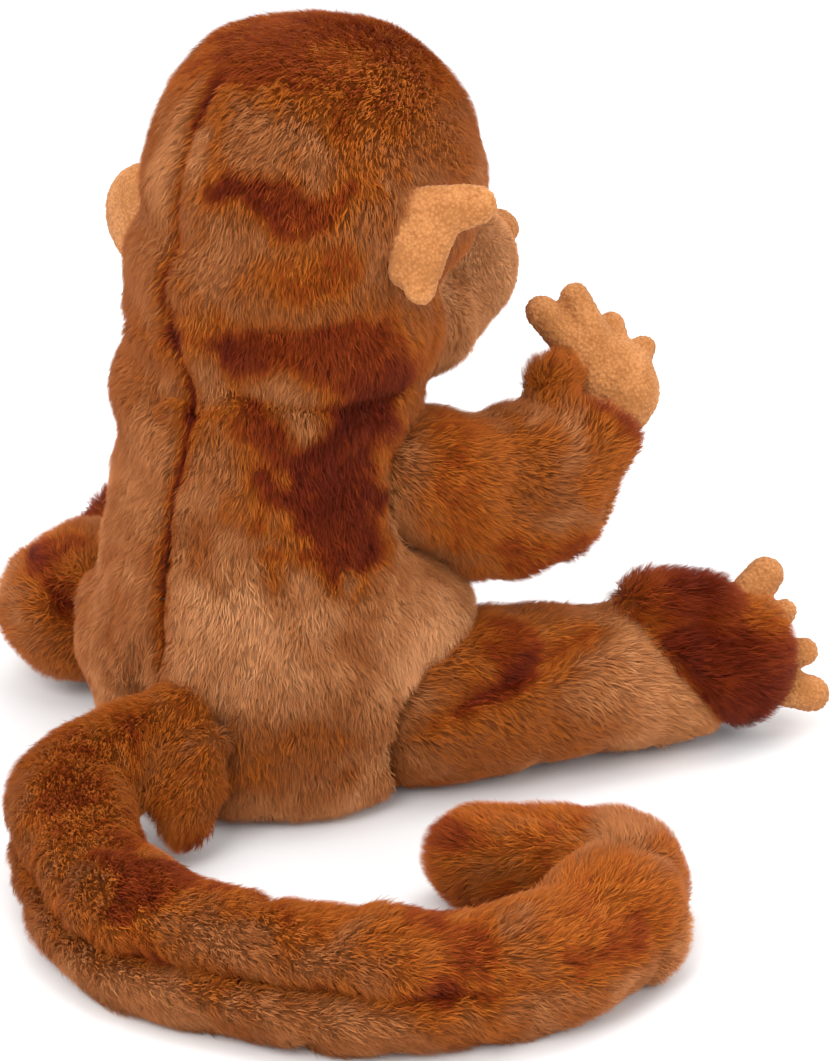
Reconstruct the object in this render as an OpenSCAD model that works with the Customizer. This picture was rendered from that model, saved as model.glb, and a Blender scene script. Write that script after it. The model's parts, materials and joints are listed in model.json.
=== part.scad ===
// Stuffed monkey: a sitting soft toy in long silky fur, with terry ears, hands and toes
// and a long tail that lies curled on the floor behind it. Millimetres, +Z up. The monkey
// faces -Y and its right side is -X. The origin is the centre of the flat face it sits on.
// Each soft part is a closed cover of fur cloth round its filling, cut where the toy bends.

/* [Cloth] */
// Thickness of the fur cloth, from its backing to the tips of the pile
fur_t = 9; // [6:0.5:10]
// Gap between the cloth and its filling
fill_gap = 0.2; // [0.1:0.1:0.5]
// Gap between two parts that move against each other
play = 0.5; // [0.4:0.1:0.8]
// Gap between two cloth panels along a seam
seam_gap = 0.5; // [0.3:0.1:0.8]
// Thickness of the sewing thread
thread_d = 1.8; // [1.2:0.2:2.4]

/* [Torso] */
// Radius of the flat seat panel
seat_r = 60; // [56:1:64]
// Radius at the hips, where the body is widest
hips_r = 92; // [88:1:94]
// Radius at the chest
chest_r = 76; // [73:1:78]
// Radius at the top of the body, under the neck
collar_r = 69; // [66:1:70]
// Height of the body from the floor to the neck seam
torso_h = 212; // [208:1:214]
// Half angle of the belly panel
belly_half_angle = 66; // [62:1:70]
// Radius of the bag of plastic pellets that weights the seat
pellet_bag_r = 33; // [28:1:34]
// Height of the bag of pellets
pellet_bag_h = 30; // [20:1:34]

/* [Head] */
// Centre that the head nods about
head_c = [-13, -28, 264]; // [-30:1:270]
// Angle that the head is turned to the monkey's right
head_turn = 20; // [16:1:24]
// Angle that the head leans to the monkey's left
head_lean = 1; // [0:1:4]
// Radius of the round underside that sits in the neck
head_seat_r = 60; // [58:1:60]
// Widest radius of the head
head_r = 83; // [80:1:85]
// Height of the crown above the nodding centre
crown_h = 121; // [116:1:124]
// Half angle of the face panel
face_half_angle = 58; // [52:1:62]
// Radius of the muzzle
muzzle_r = 38; // [34:1:39]
// Radius of the nose
nose_r = 11; // [9:0.5:12]
// Radius of each eye
eye_r = 7.5; // [6:0.5:8]
// Distance from each eye to the middle of the face
eye_x = 25; // [24:1:28]
// Height of the eyes above the nodding centre
eye_z = 27; // [26:1:32]
// Radius of each ear
ear_r = 29; // [26:1:31]
// Thickness of one of an ear's two cloth layers
ear_layer_t = 5; // [4:0.5:6]
// Height of the right ear and of the left ear above the nodding centre
ear_heights = [30, 4]; // [0:1:34]

/* [Neck] */
// Height of the neck collar
neck_h = 28; // [24:1:28]
// Outer radius of the neck collar
neck_r = 70; // [68:1:72]
// Half angle of the opening under the chin
throat_half_angle = 68; // [64:1:72]

/* [Arms] */
// Distance of each shoulder from the middle plane
shoulder_x = 65; // [62:1:67]
// Height of each shoulder
shoulder_z = 159; // [154:1:162]
// Radius of each shoulder
shoulder_r = 37; // [34:1:38]
// Radius of each elbow
elbow_r = 32; // [30:1:33]
// Radius of each wrist
wrist_r = 27; // [25:1:28]
// Length of each upper arm between its joints
upper_arm_l = 74; // [72:1:80]
// Length of each forearm between its joints
forearm_l = 62; // [58:1:66]
// Outward and upward angles of the right upper arm
right_upper_arm = [43, -17]; // [-30:1:55]
// Outward and upward angles of the right forearm
right_forearm = [11, 54]; // [-10:1:65]
// Outward and upward angles of the right hand
right_hand = [-60, 62]; // [-70:1:70]
// Outward and upward angles of the left upper arm
left_upper_arm = [38, -30]; // [-40:1:45]
// Outward and upward angles of the left forearm
left_forearm = [4, 8]; // [0:1:20]
// Outward and upward angles of the left hand
left_hand = [-6, -8]; // [-20:1:10]

/* [Legs] */
// Distance of each hip from the middle plane
hip_x = 76; // [72:1:78]
// Distance of each hip in front of the middle of the seat
hip_y = 20; // [16:1:24]
// Radius of each hip
hip_r = 42; // [40:1:43]
// Radius of each knee
knee_r = 41; // [38:1:42]
// Radius of each ankle
ankle_r = 36; // [34:1:38]
// Radius of each foot at the ball of the toes
foot_r = 33; // [30:1:35]
// Length of each thigh between its joints
thigh_l = 66; // [62:1:70]
// Length of each shin between its joints
shin_l = 68; // [66:1:74]
// Length of each foot from the ankle to the ball of the toes
foot_l = 37; // [32:1:40]
// Outward and upward angles of the right thigh
right_thigh = [38, -1]; // [-4:1:42]
// Outward and upward angles of the right shin
right_shin = [39, -3]; // [-4:1:42]
// Outward and upward angles of the right foot
right_foot = [46, 3]; // [0:1:50]
// Outward and upward angles of the left thigh
left_thigh = [82, 4]; // [2:1:86]
// Outward and upward angles of the left shin
left_shin = [8, -8]; // [-14:1:14]
// Outward and upward angles of the left foot
left_foot = [16, 6]; // [0:1:24]

/* [Tail] */
// Where the tail joins the back
tail_root = [-4, 84, 78]; // [-10:1:90]
// Radius of the tail at its root, and at each bend after it up to the tip
tail_radii = [30, 29, 28, 28, 28, 27, 24]; // [22:0.5:31]
// Length of each stretch of the tail between two bends
tail_lengths = [80, 100, 111, 95, 69, 92]; // [66:1:114]
// Heading of the first stretch, anticlockwise from +X
tail_heading = 76; // [72:1:80]
// Turn of the tail at each bend, anticlockwise
tail_turns = [64, 44, 42, 48, 96]; // [38:1:98]
// Downward angle of the first and of the second stretch
tail_drops = [28, 7]; // [6:0.2:30]

/* [Hidden] */

FUR = "#a4602f";
DARK_FUR = "#6b2f14";
ORANGE_FUR = "#b8692c";
TERRY = "#bd7d48";
FIBRE = "#f0ede4";
THREAD = "#5a2c14";
GLASS = "#1d120c";
PLASTIC = "#e8e4da";
BAG = "#d9d2c0";

ARC_STEPS = 8;
CURVE_STEPS = 4;
ROUND = 96;
SOCKET_DEPTH = 90;
BIG = 200;
PANEL_TRIM = 0.2;
SHOULDER_Y = 32;
SHOULDER_SWING = 30;
HIP_SWING = 14;
TAIL_SWING = 24;
TAIL_EXTRA_TURN = 22;
ELBOW_SET_BACK = 38;
WRIST_SET_BACK = 12;
KNEE_SET_BACK = 17;
BENT_KNEE_SET_BACK = 41;
ANKLE_SET_BACK = 17;
HAND_BALL_R = wrist_r - 5;
RIGHT_HAND_ROLL = 28;
RIGHT_TOES_ROLL = 90;
MUZZLE_C = [0, -78, -14];
JAW_C = [0, -76, -36];
JAW_R = muzzle_r - 12;
NOSE_C = [0, -118, 2];
EYE_CLEARANCE = 0.3;
EYE_STEM_R = 2.2;
EYE_STEM_L = 22;
WASHER_R = 9;
WASHER_T = 2;
WASHER_BEHIND = 13;
EAR_OUT = 19;
EAR_Y = 22;
EAR_FLARE = 14;
NECK_BORE_R = 30;
STITCHES = 6;
STITCH_PITCH = 13;
STITCH_L = 9;
LOWEST_STITCH_Z = 118;
MOUTH_ARC = 84;
MOUTH_DROP = 24;

// Unit vector from an outward and an upward angle; side is 1 for right and -1 for left.
function heading(angles, side = 1) =
    [-side * sin(angles[0]) * cos(angles[1]), -cos(angles[0]) * cos(angles[1]), sin(angles[1])];

// Half profile of a tapered bar with round ends, from its lower pole to its upper pole.
function bar_profile(l, r1, r2, steps = ARC_STEPS) =
    let (slope = asin((r1 - r2) / l))
    concat(
        [for (i = [0:steps]) let (a = -90 + (slope + 90) * i / steps) [r1 * cos(a), r1 * sin(a)]],
        [for (i = [0:steps]) let (a = slope + (90 - slope) * i / steps)
            [r2 * cos(a), l + r2 * sin(a)]]
    );

// One span of a smooth curve through b and c.
function span(a, b, c, d, t) =
    0.5 * (2 * b + (c - a) * t + (2 * a - 5 * b + 4 * c - d) * t * t
        + (3 * b - a - 3 * c + d) * t * t * t);

// Smooth curve through a list of points.
function smooth(p) = concat(
    [for (i = [0:len(p) - 2]) for (k = [0:CURVE_STEPS - 1])
        span(p[max(i - 1, 0)], p[i], p[i + 1], p[min(i + 2, len(p) - 1)], k / CURVE_STEPS)],
    [p[len(p) - 1]]
);

// The same curve moved inward by t.
function inset(p, t) = [for (i = [0:len(p) - 1])
    let (d = p[min(i + 1, len(p) - 1)] - p[max(i - 1, 0)], n = [d[1], -d[0]] / norm(d))
    p[i] - t * n];

function reversed(p) = [for (i = [len(p) - 1:-1:0]) p[i]];

// Joint centres, worked out along each limb.
function shoulder(side) = [-side * shoulder_x, -SHOULDER_Y, shoulder_z];
function hip(side) = [-side * hip_x, -hip_y, hip_r + 1];
right_elbow = shoulder(1) + upper_arm_l * heading(right_upper_arm);
left_elbow = shoulder(-1) + upper_arm_l * heading(left_upper_arm, -1);
right_wrist = right_elbow + forearm_l * heading(right_forearm);
left_wrist = left_elbow + forearm_l * heading(left_forearm, -1);
right_knee = hip(1) + thigh_l * heading(right_thigh);
left_knee = hip(-1) + thigh_l * heading(left_thigh, -1);
right_ankle = right_knee + shin_l * heading(right_shin);
left_ankle = left_knee + shin_l * heading(left_shin, -1);

// Heading and slope of each stretch of the tail, and the bend that it starts from.
tail_yaws = [for (i = [0:5]) let (turns = [for (k = [0:4]) k < i ? tail_turns[k] : 0])
    tail_heading + turns[0] + turns[1] + turns[2] + turns[3] + turns[4]];
tail_slopes = [-tail_drops[0], -tail_drops[1], 0, 0, 0, 0];
function tail_dir(i) = [cos(tail_yaws[i]) * cos(tail_slopes[i]),
    sin(tail_yaws[i]) * cos(tail_slopes[i]), sin(tail_slopes[i])];
function tail_bend(i) = i == 0 ? tail_root
    : tail_bend(i - 1) + tail_lengths[i - 1] * tail_dir(i - 1);

torso_side = smooth([
    [seat_r + seam_gap, 0], [seat_r + 20, 7], [hips_r - 4, 28], [hips_r, 58],
    [hips_r - 2, 88], [hips_r - 8, 118], [chest_r, 158], [collar_r + 2, 188],
    [collar_r, torso_h]
]);
torso_inner = concat([[seat_r + seam_gap, fur_t]],
    [for (p = inset(torso_side, fur_t)) if (p[1] > fur_t + 1) p]);
head_side = smooth([
    [head_r - 14, 2], [head_r - 5, 14], [head_r, 34], [head_r, 48], [head_r - 7, 72],
    [head_r - 21, 94], [head_r - 45, crown_h - 9], [0.01, crown_h]
]);

// Puts its children on a joint, with +Z along the limb and +Y upward.
module along(p, angles, side = 1, roll = 0)
    translate(p) rotate([90 - angles[1], 0, -side * angles[0]]) rotate(roll) children();

module at_head() translate(head_c) rotate([0, head_lean, -head_turn]) children();

// Everything past a limb's end: a cup round the next joint's ball and a flat face.
module limb_end(l, next_r, set_back) {
    translate([0, l]) circle(next_r + play, $fn = ROUND);
    translate([-1, l - set_back]) square([BIG, BIG]);
}

// A limb's cover. The next part's round end turns in the cup at its far end.
module limb_cover(l, r1, r2, next_r, set_back)
    rotate_extrude($fn = ROUND) difference() {
        polygon(bar_profile(l, r1, r2));
        polygon(bar_profile(l, r1 - fur_t, r2 - fur_t));
        limb_end(l, next_r, set_back);
    }

module limb_filling(l, r1, r2, next_r, set_back)
    rotate_extrude($fn = ROUND) difference() {
        polygon(bar_profile(l, r1 - fur_t - fill_gap, r2 - fur_t - fill_gap));
        limb_end(l, next_r, set_back);
    }

// A cover with both ends closed, and the filling inside it.
module end_cover(l, r1, r2)
    rotate_extrude($fn = ROUND) difference() {
        polygon(bar_profile(l, r1, r2));
        polygon(bar_profile(l, r1 - fur_t, r2 - fur_t));
    }

module end_filling(l, r1, r2)
    rotate_extrude($fn = ROUND)
        polygon(bar_profile(l, r1 - fur_t - fill_gap, r2 - fur_t - fill_gap));

// A solid finger or toe from p along an angle in the XZ plane.
module digit(p, lean, l, r1, r2)
    translate(p) rotate([0, lean, 0]) rotate_extrude($fn = ROUND)
        polygon(bar_profile(l, r1, r2, 4));

// Room in the body for a limb's round end and for the swing of the limb. Its flats lie
// just outside the round end.
module socket(p, angles, side, r, swing) along(p, angles, side)
    rotate_extrude($fn = ROUND) let (step = 90 / ARC_STEPS, fit_r = (r + play) / cos(step / 2))
        polygon(concat(
            [for (i = [0:ARC_STEPS]) let (a = -90 + step * i) [fit_r * cos(a), fit_r * sin(a)]],
            [[fit_r + SOCKET_DEPTH * tan(swing), SOCKET_DEPTH], [0, SOCKET_DEPTH]]
        ));

module torso_sockets() {
    socket(shoulder(1), right_upper_arm, 1, shoulder_r, SHOULDER_SWING);
    socket(shoulder(-1), left_upper_arm, -1, shoulder_r, SHOULDER_SWING);
    socket(hip(1), right_thigh, 1, hip_r, HIP_SWING);
    socket(hip(-1), left_thigh, -1, hip_r, HIP_SWING);
    socket(tail_root, [tail_yaws[0] + 90, -tail_drops[0]], -1, tail_radii[0], TAIL_SWING);
    translate(head_c) sphere(head_seat_r + play, $fn = ROUND);
}

// A wall panel of the torso, turned round the body from one angle to another.
module torso_panel(from, to) difference() {
    rotate_extrude(start = from + PANEL_TRIM, angle = to - from - 2 * PANEL_TRIM, $fn = ROUND)
        polygon(concat(torso_side, reversed(torso_inner)));
    torso_sockets();
}

module seat_panel() color(FUR) difference() {
    cylinder(h = fur_t, r = seat_r, $fn = ROUND);
    torso_sockets();
}
module back_left_panel() color(FUR) torso_panel(-90 + belly_half_angle, 90);
module back_right_panel() color(FUR) torso_panel(90, 270 - belly_half_angle);
module belly_panel() color(FUR)
    torso_panel(270 - belly_half_angle, 270 + belly_half_angle);

module pellet_bag_shape(extra) translate([0, 0, fur_t + 2 - extra])
    cylinder(h = pellet_bag_h + 2 * extra, r = pellet_bag_r + extra, $fn = ROUND);

module pellet_bag() color(BAG) pellet_bag_shape(0);

module torso_filling() color(FIBRE) difference() {
    rotate_extrude($fn = ROUND) polygon(concat(
        [[0, fur_t + fill_gap], [seat_r - fur_t, fur_t + fill_gap]],
        [for (p = inset(torso_side, fur_t + fill_gap)) if (p[1] > fur_t + 2) p],
        [[0, torso_h]]
    ));
    torso_sockets();
    pellet_bag_shape(fill_gap);
}

// Row of hand stitches that closes the centre of the back above the tail.
module back_seam_thread() color(THREAD)
    for (i = [0:STITCHES - 1])
        let (z = LOWEST_STITCH_Z + STITCH_PITCH * i, r = lookup(z, [for (p = torso_side) [p[1], p[0]]]))
        translate([0, r + thread_d * 0.6, z]) rotate([0, 90, 0])
            cylinder(h = STITCH_L, d = thread_d, center = true, $fn = 24);

module neck_collar() color(FUR) difference() {
    translate([head_c[0] + 5, head_c[1] + 10, torso_h + play])
        rotate_extrude(start = 270 - head_turn + throat_half_angle,
            angle = 360 - 2 * throat_half_angle, $fn = ROUND)
            polygon([[NECK_BORE_R, 0], [neck_r - 1, 0], [neck_r, neck_h / 3], [neck_r, neck_h * 0.7],
                [neck_r - 2, neck_h - play], [NECK_BORE_R, neck_h - play]]);
    translate(head_c) sphere(head_seat_r + play, $fn = ROUND);
}

// Half profile of the head: the round seat below, then the skull.
function head_profile(t) = let (lowest = -90, highest = -12) concat(
    [for (i = [0:ARC_STEPS]) let (a = lowest + (highest - lowest) * i / ARC_STEPS)
        [(head_seat_r - t) * cos(a), (head_seat_r - t) * sin(a)]],
    [for (p = inset(head_side, t)) [max(p[0], 0), p[1]]],
    t > 0 ? [[0, crown_h - t]] : []
);

module head_shell(from, to) rotate_extrude(start = from + PANEL_TRIM, angle = to - from - 2 * PANEL_TRIM,
    $fn = ROUND) difference() {
        polygon(head_profile(0));
        polygon(head_profile(fur_t));
    }

// The muzzle and the jaw under it, with a margin for cutting their seat.
module muzzle_shape(extra) {
    translate(MUZZLE_C) sphere(muzzle_r + extra, $fn = ROUND);
    translate(JAW_C) sphere(JAW_R + extra, $fn = ROUND);
}

module head_back_left_panel() color(FUR) at_head()
    head_shell(-90 + face_half_angle, 90);
module head_back_right_panel() color(FUR) at_head()
    head_shell(90, 270 - face_half_angle);

module face_panel() color(ORANGE_FUR) at_head() difference() {
    head_shell(270 - face_half_angle, 270 + face_half_angle);
    muzzle_shape(seam_gap);
    for (x = [-eye_x, eye_x]) eye_shape(x, EYE_CLEARANCE);
}

module muzzle() color(ORANGE_FUR) at_head() difference() {
    muzzle_shape(0);
    translate(NOSE_C) sphere(nose_r + seam_gap, $fn = ROUND);
}

module nose() color(TERRY) at_head() translate(NOSE_C) sphere(nose_r, $fn = ROUND);

module mouth_thread() color(THREAD) at_head() translate(MUZZLE_C)
    rotate_extrude(start = 270 - MOUTH_ARC / 2, angle = MOUTH_ARC, $fn = ROUND)
        translate((muzzle_r + thread_d * 0.6) * [cos(MOUTH_DROP), -sin(MOUTH_DROP)])
            circle(d = thread_d, $fn = 24);

// A safety eye: a dome outside the cloth and a stem that goes through it.
module eye_shape(x, extra) translate([x, -head_r + 5, eye_z]) {
    sphere(eye_r + extra, $fn = ROUND);
    rotate([-90, 0, 0]) cylinder(h = EYE_STEM_L, r = EYE_STEM_R + extra, $fn = 32);
}

module eye_washer_shape(x, extra) translate([x, -head_r + fur_t + WASHER_BEHIND - extra, eye_z])
    rotate([-90, 0, 0]) cylinder(h = WASHER_T + 2 * extra, r = WASHER_R + extra, $fn = ROUND);

module eye(x) color(GLASS) at_head() eye_shape(x, 0);
module eye_washer(x) color(PLASTIC) at_head() difference() {
    eye_washer_shape(x, 0);
    eye_shape(x, 0.1);
}
module right_eye() eye(-eye_x);
module left_eye() eye(eye_x);
module right_eye_washer() eye_washer(-eye_x);
module left_eye_washer() eye_washer(eye_x);

module head_filling() color(FIBRE) at_head() difference() {
    rotate_extrude($fn = ROUND) polygon(head_profile(fur_t + fill_gap));
    muzzle_shape(seam_gap);
    for (x = [-eye_x, eye_x]) {
        eye_shape(x, EYE_CLEARANCE);
        eye_washer_shape(x, EYE_CLEARANCE);
    }
}

// One layer of an ear: a round flap, cut where it meets the side of the head.
module ear_layer(side, front) color(TERRY) at_head() difference() {
    translate([-side * (head_r + EAR_OUT), EAR_Y, ear_heights[side > 0 ? 0 : 1]])
        rotate([90, 0, -side * EAR_FLARE]) translate([0, 0, front ? 0.15 : -0.15 - ear_layer_t])
            rotate_extrude($fn = ROUND) let (s = front ? 1 : -1, z = front ? 0 : ear_layer_t)
                polygon([[0, z], [ear_r, z], [ear_r - 0.6, z + s * ear_layer_t * 0.5],
                    [ear_r - 3, z + s * ear_layer_t], [0, z + s * ear_layer_t]]);
    rotate_extrude($fn = ROUND) polygon(head_profile(-play - 1.5));
}
module right_ear_back() ear_layer(1, false);
module right_ear_front() ear_layer(1, true);
module left_ear_back() ear_layer(-1, false);
module left_ear_front() ear_layer(-1, true);

module upper_arm(side, angles, filling) along(shoulder(side), angles, side)
    if (filling) limb_filling(upper_arm_l, shoulder_r, elbow_r, elbow_r, ELBOW_SET_BACK);
    else limb_cover(upper_arm_l, shoulder_r, elbow_r, elbow_r, ELBOW_SET_BACK);

module forearm(p, side, angles, filling) along(p, angles, side)
    if (filling) limb_filling(forearm_l, elbow_r, wrist_r, HAND_BALL_R, WRIST_SET_BACK);
    else limb_cover(forearm_l, elbow_r, wrist_r, HAND_BALL_R, WRIST_SET_BACK);

module right_upper_arm_cover() color(FUR) upper_arm(1, right_upper_arm, false);
module right_upper_arm_filling() color(FIBRE) upper_arm(1, right_upper_arm, true);
module left_upper_arm_cover() color(FUR) upper_arm(-1, left_upper_arm, false);
module left_upper_arm_filling() color(FIBRE) upper_arm(-1, left_upper_arm, true);
module right_forearm_cover() color(DARK_FUR) forearm(right_elbow, 1, right_forearm, false);
module right_forearm_filling() color(FIBRE) forearm(right_elbow, 1, right_forearm, true);
module left_forearm_cover() color(DARK_FUR) forearm(left_elbow, -1, left_forearm, false);
module left_forearm_filling() color(FIBRE) forearm(left_elbow, -1, left_forearm, true);

// A stuffed terry hand: a palm, a row of four fingers and a thumb toward x = -1.
module hand(side) {
    digit([0, 0, 0], 0, 26, HAND_BALL_R, 15);
    digit([-14, 0, 28], 90, 28, 12, 12.5);
    digit([-15, 0, 30], -16, 24, 9.5, 8);
    digit([-5, 0, 32], -4, 26, 9, 8);
    digit([6, 0, 32], 7, 25, 9, 7.8);
    digit([15, 0, 29], 20, 20, 8.8, 7.4);
    digit([-side * 12, 0, 12], -side * 58, 22, 9.5, 8);
}
module right_hand_terry() color(TERRY) along(right_wrist, right_hand, 1, RIGHT_HAND_ROLL) hand(-1);
module left_hand_terry() color(TERRY) along(left_wrist, left_hand, -1, 0) hand(1);

module thigh(side, angles, set_back, filling) along(hip(side), angles, side)
    if (filling) limb_filling(thigh_l, hip_r, knee_r, knee_r, set_back);
    else limb_cover(thigh_l, hip_r, knee_r, knee_r, set_back);

module shin(p, side, angles, filling) along(p, angles, side)
    if (filling) limb_filling(shin_l, knee_r, ankle_r, ankle_r, ANKLE_SET_BACK);
    else limb_cover(shin_l, knee_r, ankle_r, ankle_r, ANKLE_SET_BACK);

module right_thigh_cover() color(FUR) thigh(1, right_thigh, KNEE_SET_BACK, false);
module right_thigh_filling() color(FIBRE) thigh(1, right_thigh, KNEE_SET_BACK, true);
module left_thigh_cover() color(FUR) thigh(-1, left_thigh, BENT_KNEE_SET_BACK, false);
module left_thigh_filling() color(FIBRE) thigh(-1, left_thigh, BENT_KNEE_SET_BACK, true);
module right_shin_cover() color(FUR) shin(right_knee, 1, right_shin, false);
module right_shin_filling() color(FIBRE) shin(right_knee, 1, right_shin, true);
module left_shin_cover() color(FUR) shin(left_knee, -1, left_shin, false);
module left_shin_filling() color(FIBRE) shin(left_knee, -1, left_shin, true);

module foot_cover() color(DARK_FUR) end_cover(foot_l, ankle_r, foot_r);
module foot_filling() color(FIBRE) end_filling(foot_l, ankle_r, foot_r);

// Terry toes: a pad across the end of the foot, three toes and a big toe at one side.
module toes() color(TERRY) difference() {
    union() {
        digit([-20, 0, foot_l + 27], 90, 40, 11, 11);
        digit([22, 0, foot_l + 22], 40, 16, 10, 8.5);
        digit([9, 0, foot_l + 30], 12, 14, 9.5, 8);
        digit([-6, 0, foot_l + 31], -6, 14, 9.5, 8);
        digit([-21, 0, foot_l + 25], -16, 22, 12, 9.5);
    }
    rotate_extrude($fn = ROUND) polygon(bar_profile(foot_l, ankle_r + seam_gap,
        foot_r + seam_gap));
}
module right_foot_cover() along(right_ankle, right_foot) foot_cover();
module right_foot_filling() along(right_ankle, right_foot) foot_filling();
module right_toes_terry() along(right_ankle, right_foot, 1, RIGHT_TOES_ROLL) toes();
module left_foot_cover() along(left_ankle, left_foot, -1) foot_cover();
module left_foot_filling() along(left_ankle, left_foot, -1) foot_filling();
module left_toes_terry() along(left_ankle, left_foot, -1, 0) toes();

// How far each stretch of the tail stops short of the next bend, by how sharp the bend is.
function tail_set_back(i) = tail_radii[i + 1] * tan((tail_turns[i] + TAIL_EXTRA_TURN) / 2);

module tail_stretch(i, filling) translate(tail_bend(i)) rotate([0, 0, tail_yaws[i]])
    rotate([0, 90 - tail_slopes[i], 0])
        if (i < 5) {
            if (filling) limb_filling(tail_lengths[i], tail_radii[i], tail_radii[i + 1],
                tail_radii[i + 1], tail_set_back(i));
            else limb_cover(tail_lengths[i], tail_radii[i], tail_radii[i + 1],
                tail_radii[i + 1], tail_set_back(i));
        } else {
            if (filling) end_filling(tail_lengths[i], tail_radii[i], tail_radii[i + 1]);
            else end_cover(tail_lengths[i], tail_radii[i], tail_radii[i + 1]);
        }

module tail_1_cover() color(DARK_FUR) tail_stretch(0, false);
module tail_2_cover() color(DARK_FUR) tail_stretch(1, false);
module tail_3_cover() color(FUR) tail_stretch(2, false);
module tail_4_cover() color(FUR) tail_stretch(3, false);
module tail_5_cover() color(FUR) tail_stretch(4, false);
module tail_6_cover() color(ORANGE_FUR) tail_stretch(5, false);
module tail_1_filling() color(FIBRE) tail_stretch(0, true);
module tail_2_filling() color(FIBRE) tail_stretch(1, true);
module tail_3_filling() color(FIBRE) tail_stretch(2, true);
module tail_4_filling() color(FIBRE) tail_stretch(3, true);
module tail_5_filling() color(FIBRE) tail_stretch(4, true);
module tail_6_filling() color(FIBRE) tail_stretch(5, true);

seat_panel();
back_left_panel();
back_right_panel();
belly_panel();
torso_filling();
pellet_bag();
back_seam_thread();
neck_collar();
head_back_left_panel();
head_back_right_panel();
face_panel();
muzzle();
nose();
mouth_thread();
right_eye();
left_eye();
right_eye_washer();
left_eye_washer();
head_filling();
right_ear_back();
right_ear_front();
left_ear_back();
left_ear_front();
right_upper_arm_cover();
right_upper_arm_filling();
right_forearm_cover();
right_forearm_filling();
right_hand_terry();
left_upper_arm_cover();
left_upper_arm_filling();
left_forearm_cover();
left_forearm_filling();
left_hand_terry();
right_thigh_cover();
right_thigh_filling();
right_shin_cover();
right_shin_filling();
right_foot_cover();
right_foot_filling();
right_toes_terry();
left_thigh_cover();
left_thigh_filling();
left_shin_cover();
left_shin_filling();
left_foot_cover();
left_foot_filling();
left_toes_terry();
tail_1_cover();
tail_2_cover();
tail_3_cover();
tail_4_cover();
tail_5_cover();
tail_6_cover();
tail_1_filling();
tail_2_filling();
tail_3_filling();
tail_4_filling();
tail_5_filling();
tail_6_filling();
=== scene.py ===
"""The looks of a sitting stuffed monkey: silky fur, terry ears, hands and toes, and a long curled tail.

Each fur piece is a stuffed skin grown from the CAD covers it stands for, with a pile of solid tufts on it
and fine hair between them.
Metres, +Z up, in the row's frame: the monkey faces -Y and its right side is -X.
"""

import json
import math

import bmesh
import bpy
import numpy as np
from mathutils import Matrix, Vector


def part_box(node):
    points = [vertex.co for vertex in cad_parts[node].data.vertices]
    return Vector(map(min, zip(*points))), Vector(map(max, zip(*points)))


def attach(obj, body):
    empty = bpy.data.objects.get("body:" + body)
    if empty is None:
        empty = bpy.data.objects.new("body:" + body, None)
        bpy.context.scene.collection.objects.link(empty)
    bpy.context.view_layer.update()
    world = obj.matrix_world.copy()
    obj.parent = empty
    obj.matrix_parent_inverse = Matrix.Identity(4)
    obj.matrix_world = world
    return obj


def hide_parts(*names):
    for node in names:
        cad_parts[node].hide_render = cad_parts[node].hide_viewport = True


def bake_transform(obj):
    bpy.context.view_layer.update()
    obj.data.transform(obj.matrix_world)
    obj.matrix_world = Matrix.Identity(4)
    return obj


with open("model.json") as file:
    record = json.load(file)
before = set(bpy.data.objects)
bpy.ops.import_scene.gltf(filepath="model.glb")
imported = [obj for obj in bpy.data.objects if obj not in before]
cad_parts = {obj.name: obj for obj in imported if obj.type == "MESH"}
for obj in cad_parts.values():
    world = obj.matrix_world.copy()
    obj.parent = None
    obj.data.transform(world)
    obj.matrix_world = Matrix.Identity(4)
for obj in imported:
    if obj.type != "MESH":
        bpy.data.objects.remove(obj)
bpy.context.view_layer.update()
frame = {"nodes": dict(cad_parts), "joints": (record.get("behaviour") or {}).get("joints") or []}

SEED = 11

# The fur cloth: its skin, and the solid tufts on it
FINE = 1.0
VOXEL = 0.0035
INSET = 0.0032
TUFTS_PER_M2 = 0.52e6 * FINE
TUFT_WIDTH = 0.00062 / math.sqrt(FINE)
TUFT_SHARE = 0.88
CLUMP = 0.006
PILE_LENGTH = 0.0078
LEAN = 0.90
COMB_DRIFT = 0.45
SOFT_NORMAL = 0.62
CUFF_EDGE = 0.0066
FLOOR_GAP = 0.0005

# The fine hair between the tufts
LOCKS_PER_M2 = 62000
HAIRS_PER_LOCK = 42
HAIR_RADIUS = 0.00012
LONGEST = 0.016

# The terry cloth
TERRY_VOXEL = 0.0016
NUB = 0.0018
NUB_HEIGHT = 0.0005

UP = np.array([0.0, 0.0, 1.0])
DOWN = -UP

JOINT = {j["name"]: np.array(j["pos_m"]) for j in frame["joints"]}


def centre(node):
    lo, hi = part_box(node)
    return np.array((lo + hi) / 2)


def unit(v):
    return v / np.maximum(np.linalg.norm(v, axis=-1, keepdims=True), 1e-12)


# Directions of the head: forward through the nose, and to the monkey's right
HEAD = JOINT["head_nod"]
FORWARD = unit((centre("nose") - HEAD) * [1, 1, 0])
RIGHT = np.cross(FORWARD, UP)


# ---------------------------------------------------------------- noise

def lattice(i, j, k, seed):
    """A repeatable random number from 0 to 1 for each whole-number point."""
    h = (i * 73856093) ^ (j * 19349663) ^ (k * 83492791) ^ (seed * 2654435761)
    h = (h ^ (h >> 15)) & 0xFFFFFFFF
    h = (h * 2246822519) & 0xFFFFFFFF
    h = (h ^ (h >> 13)) & 0xFFFFFFFF
    h = (h * 3266489917) & 0xFFFFFFFF
    return ((h ^ (h >> 16)) & 0xFFFFFF) / 0xFFFFFF


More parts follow.
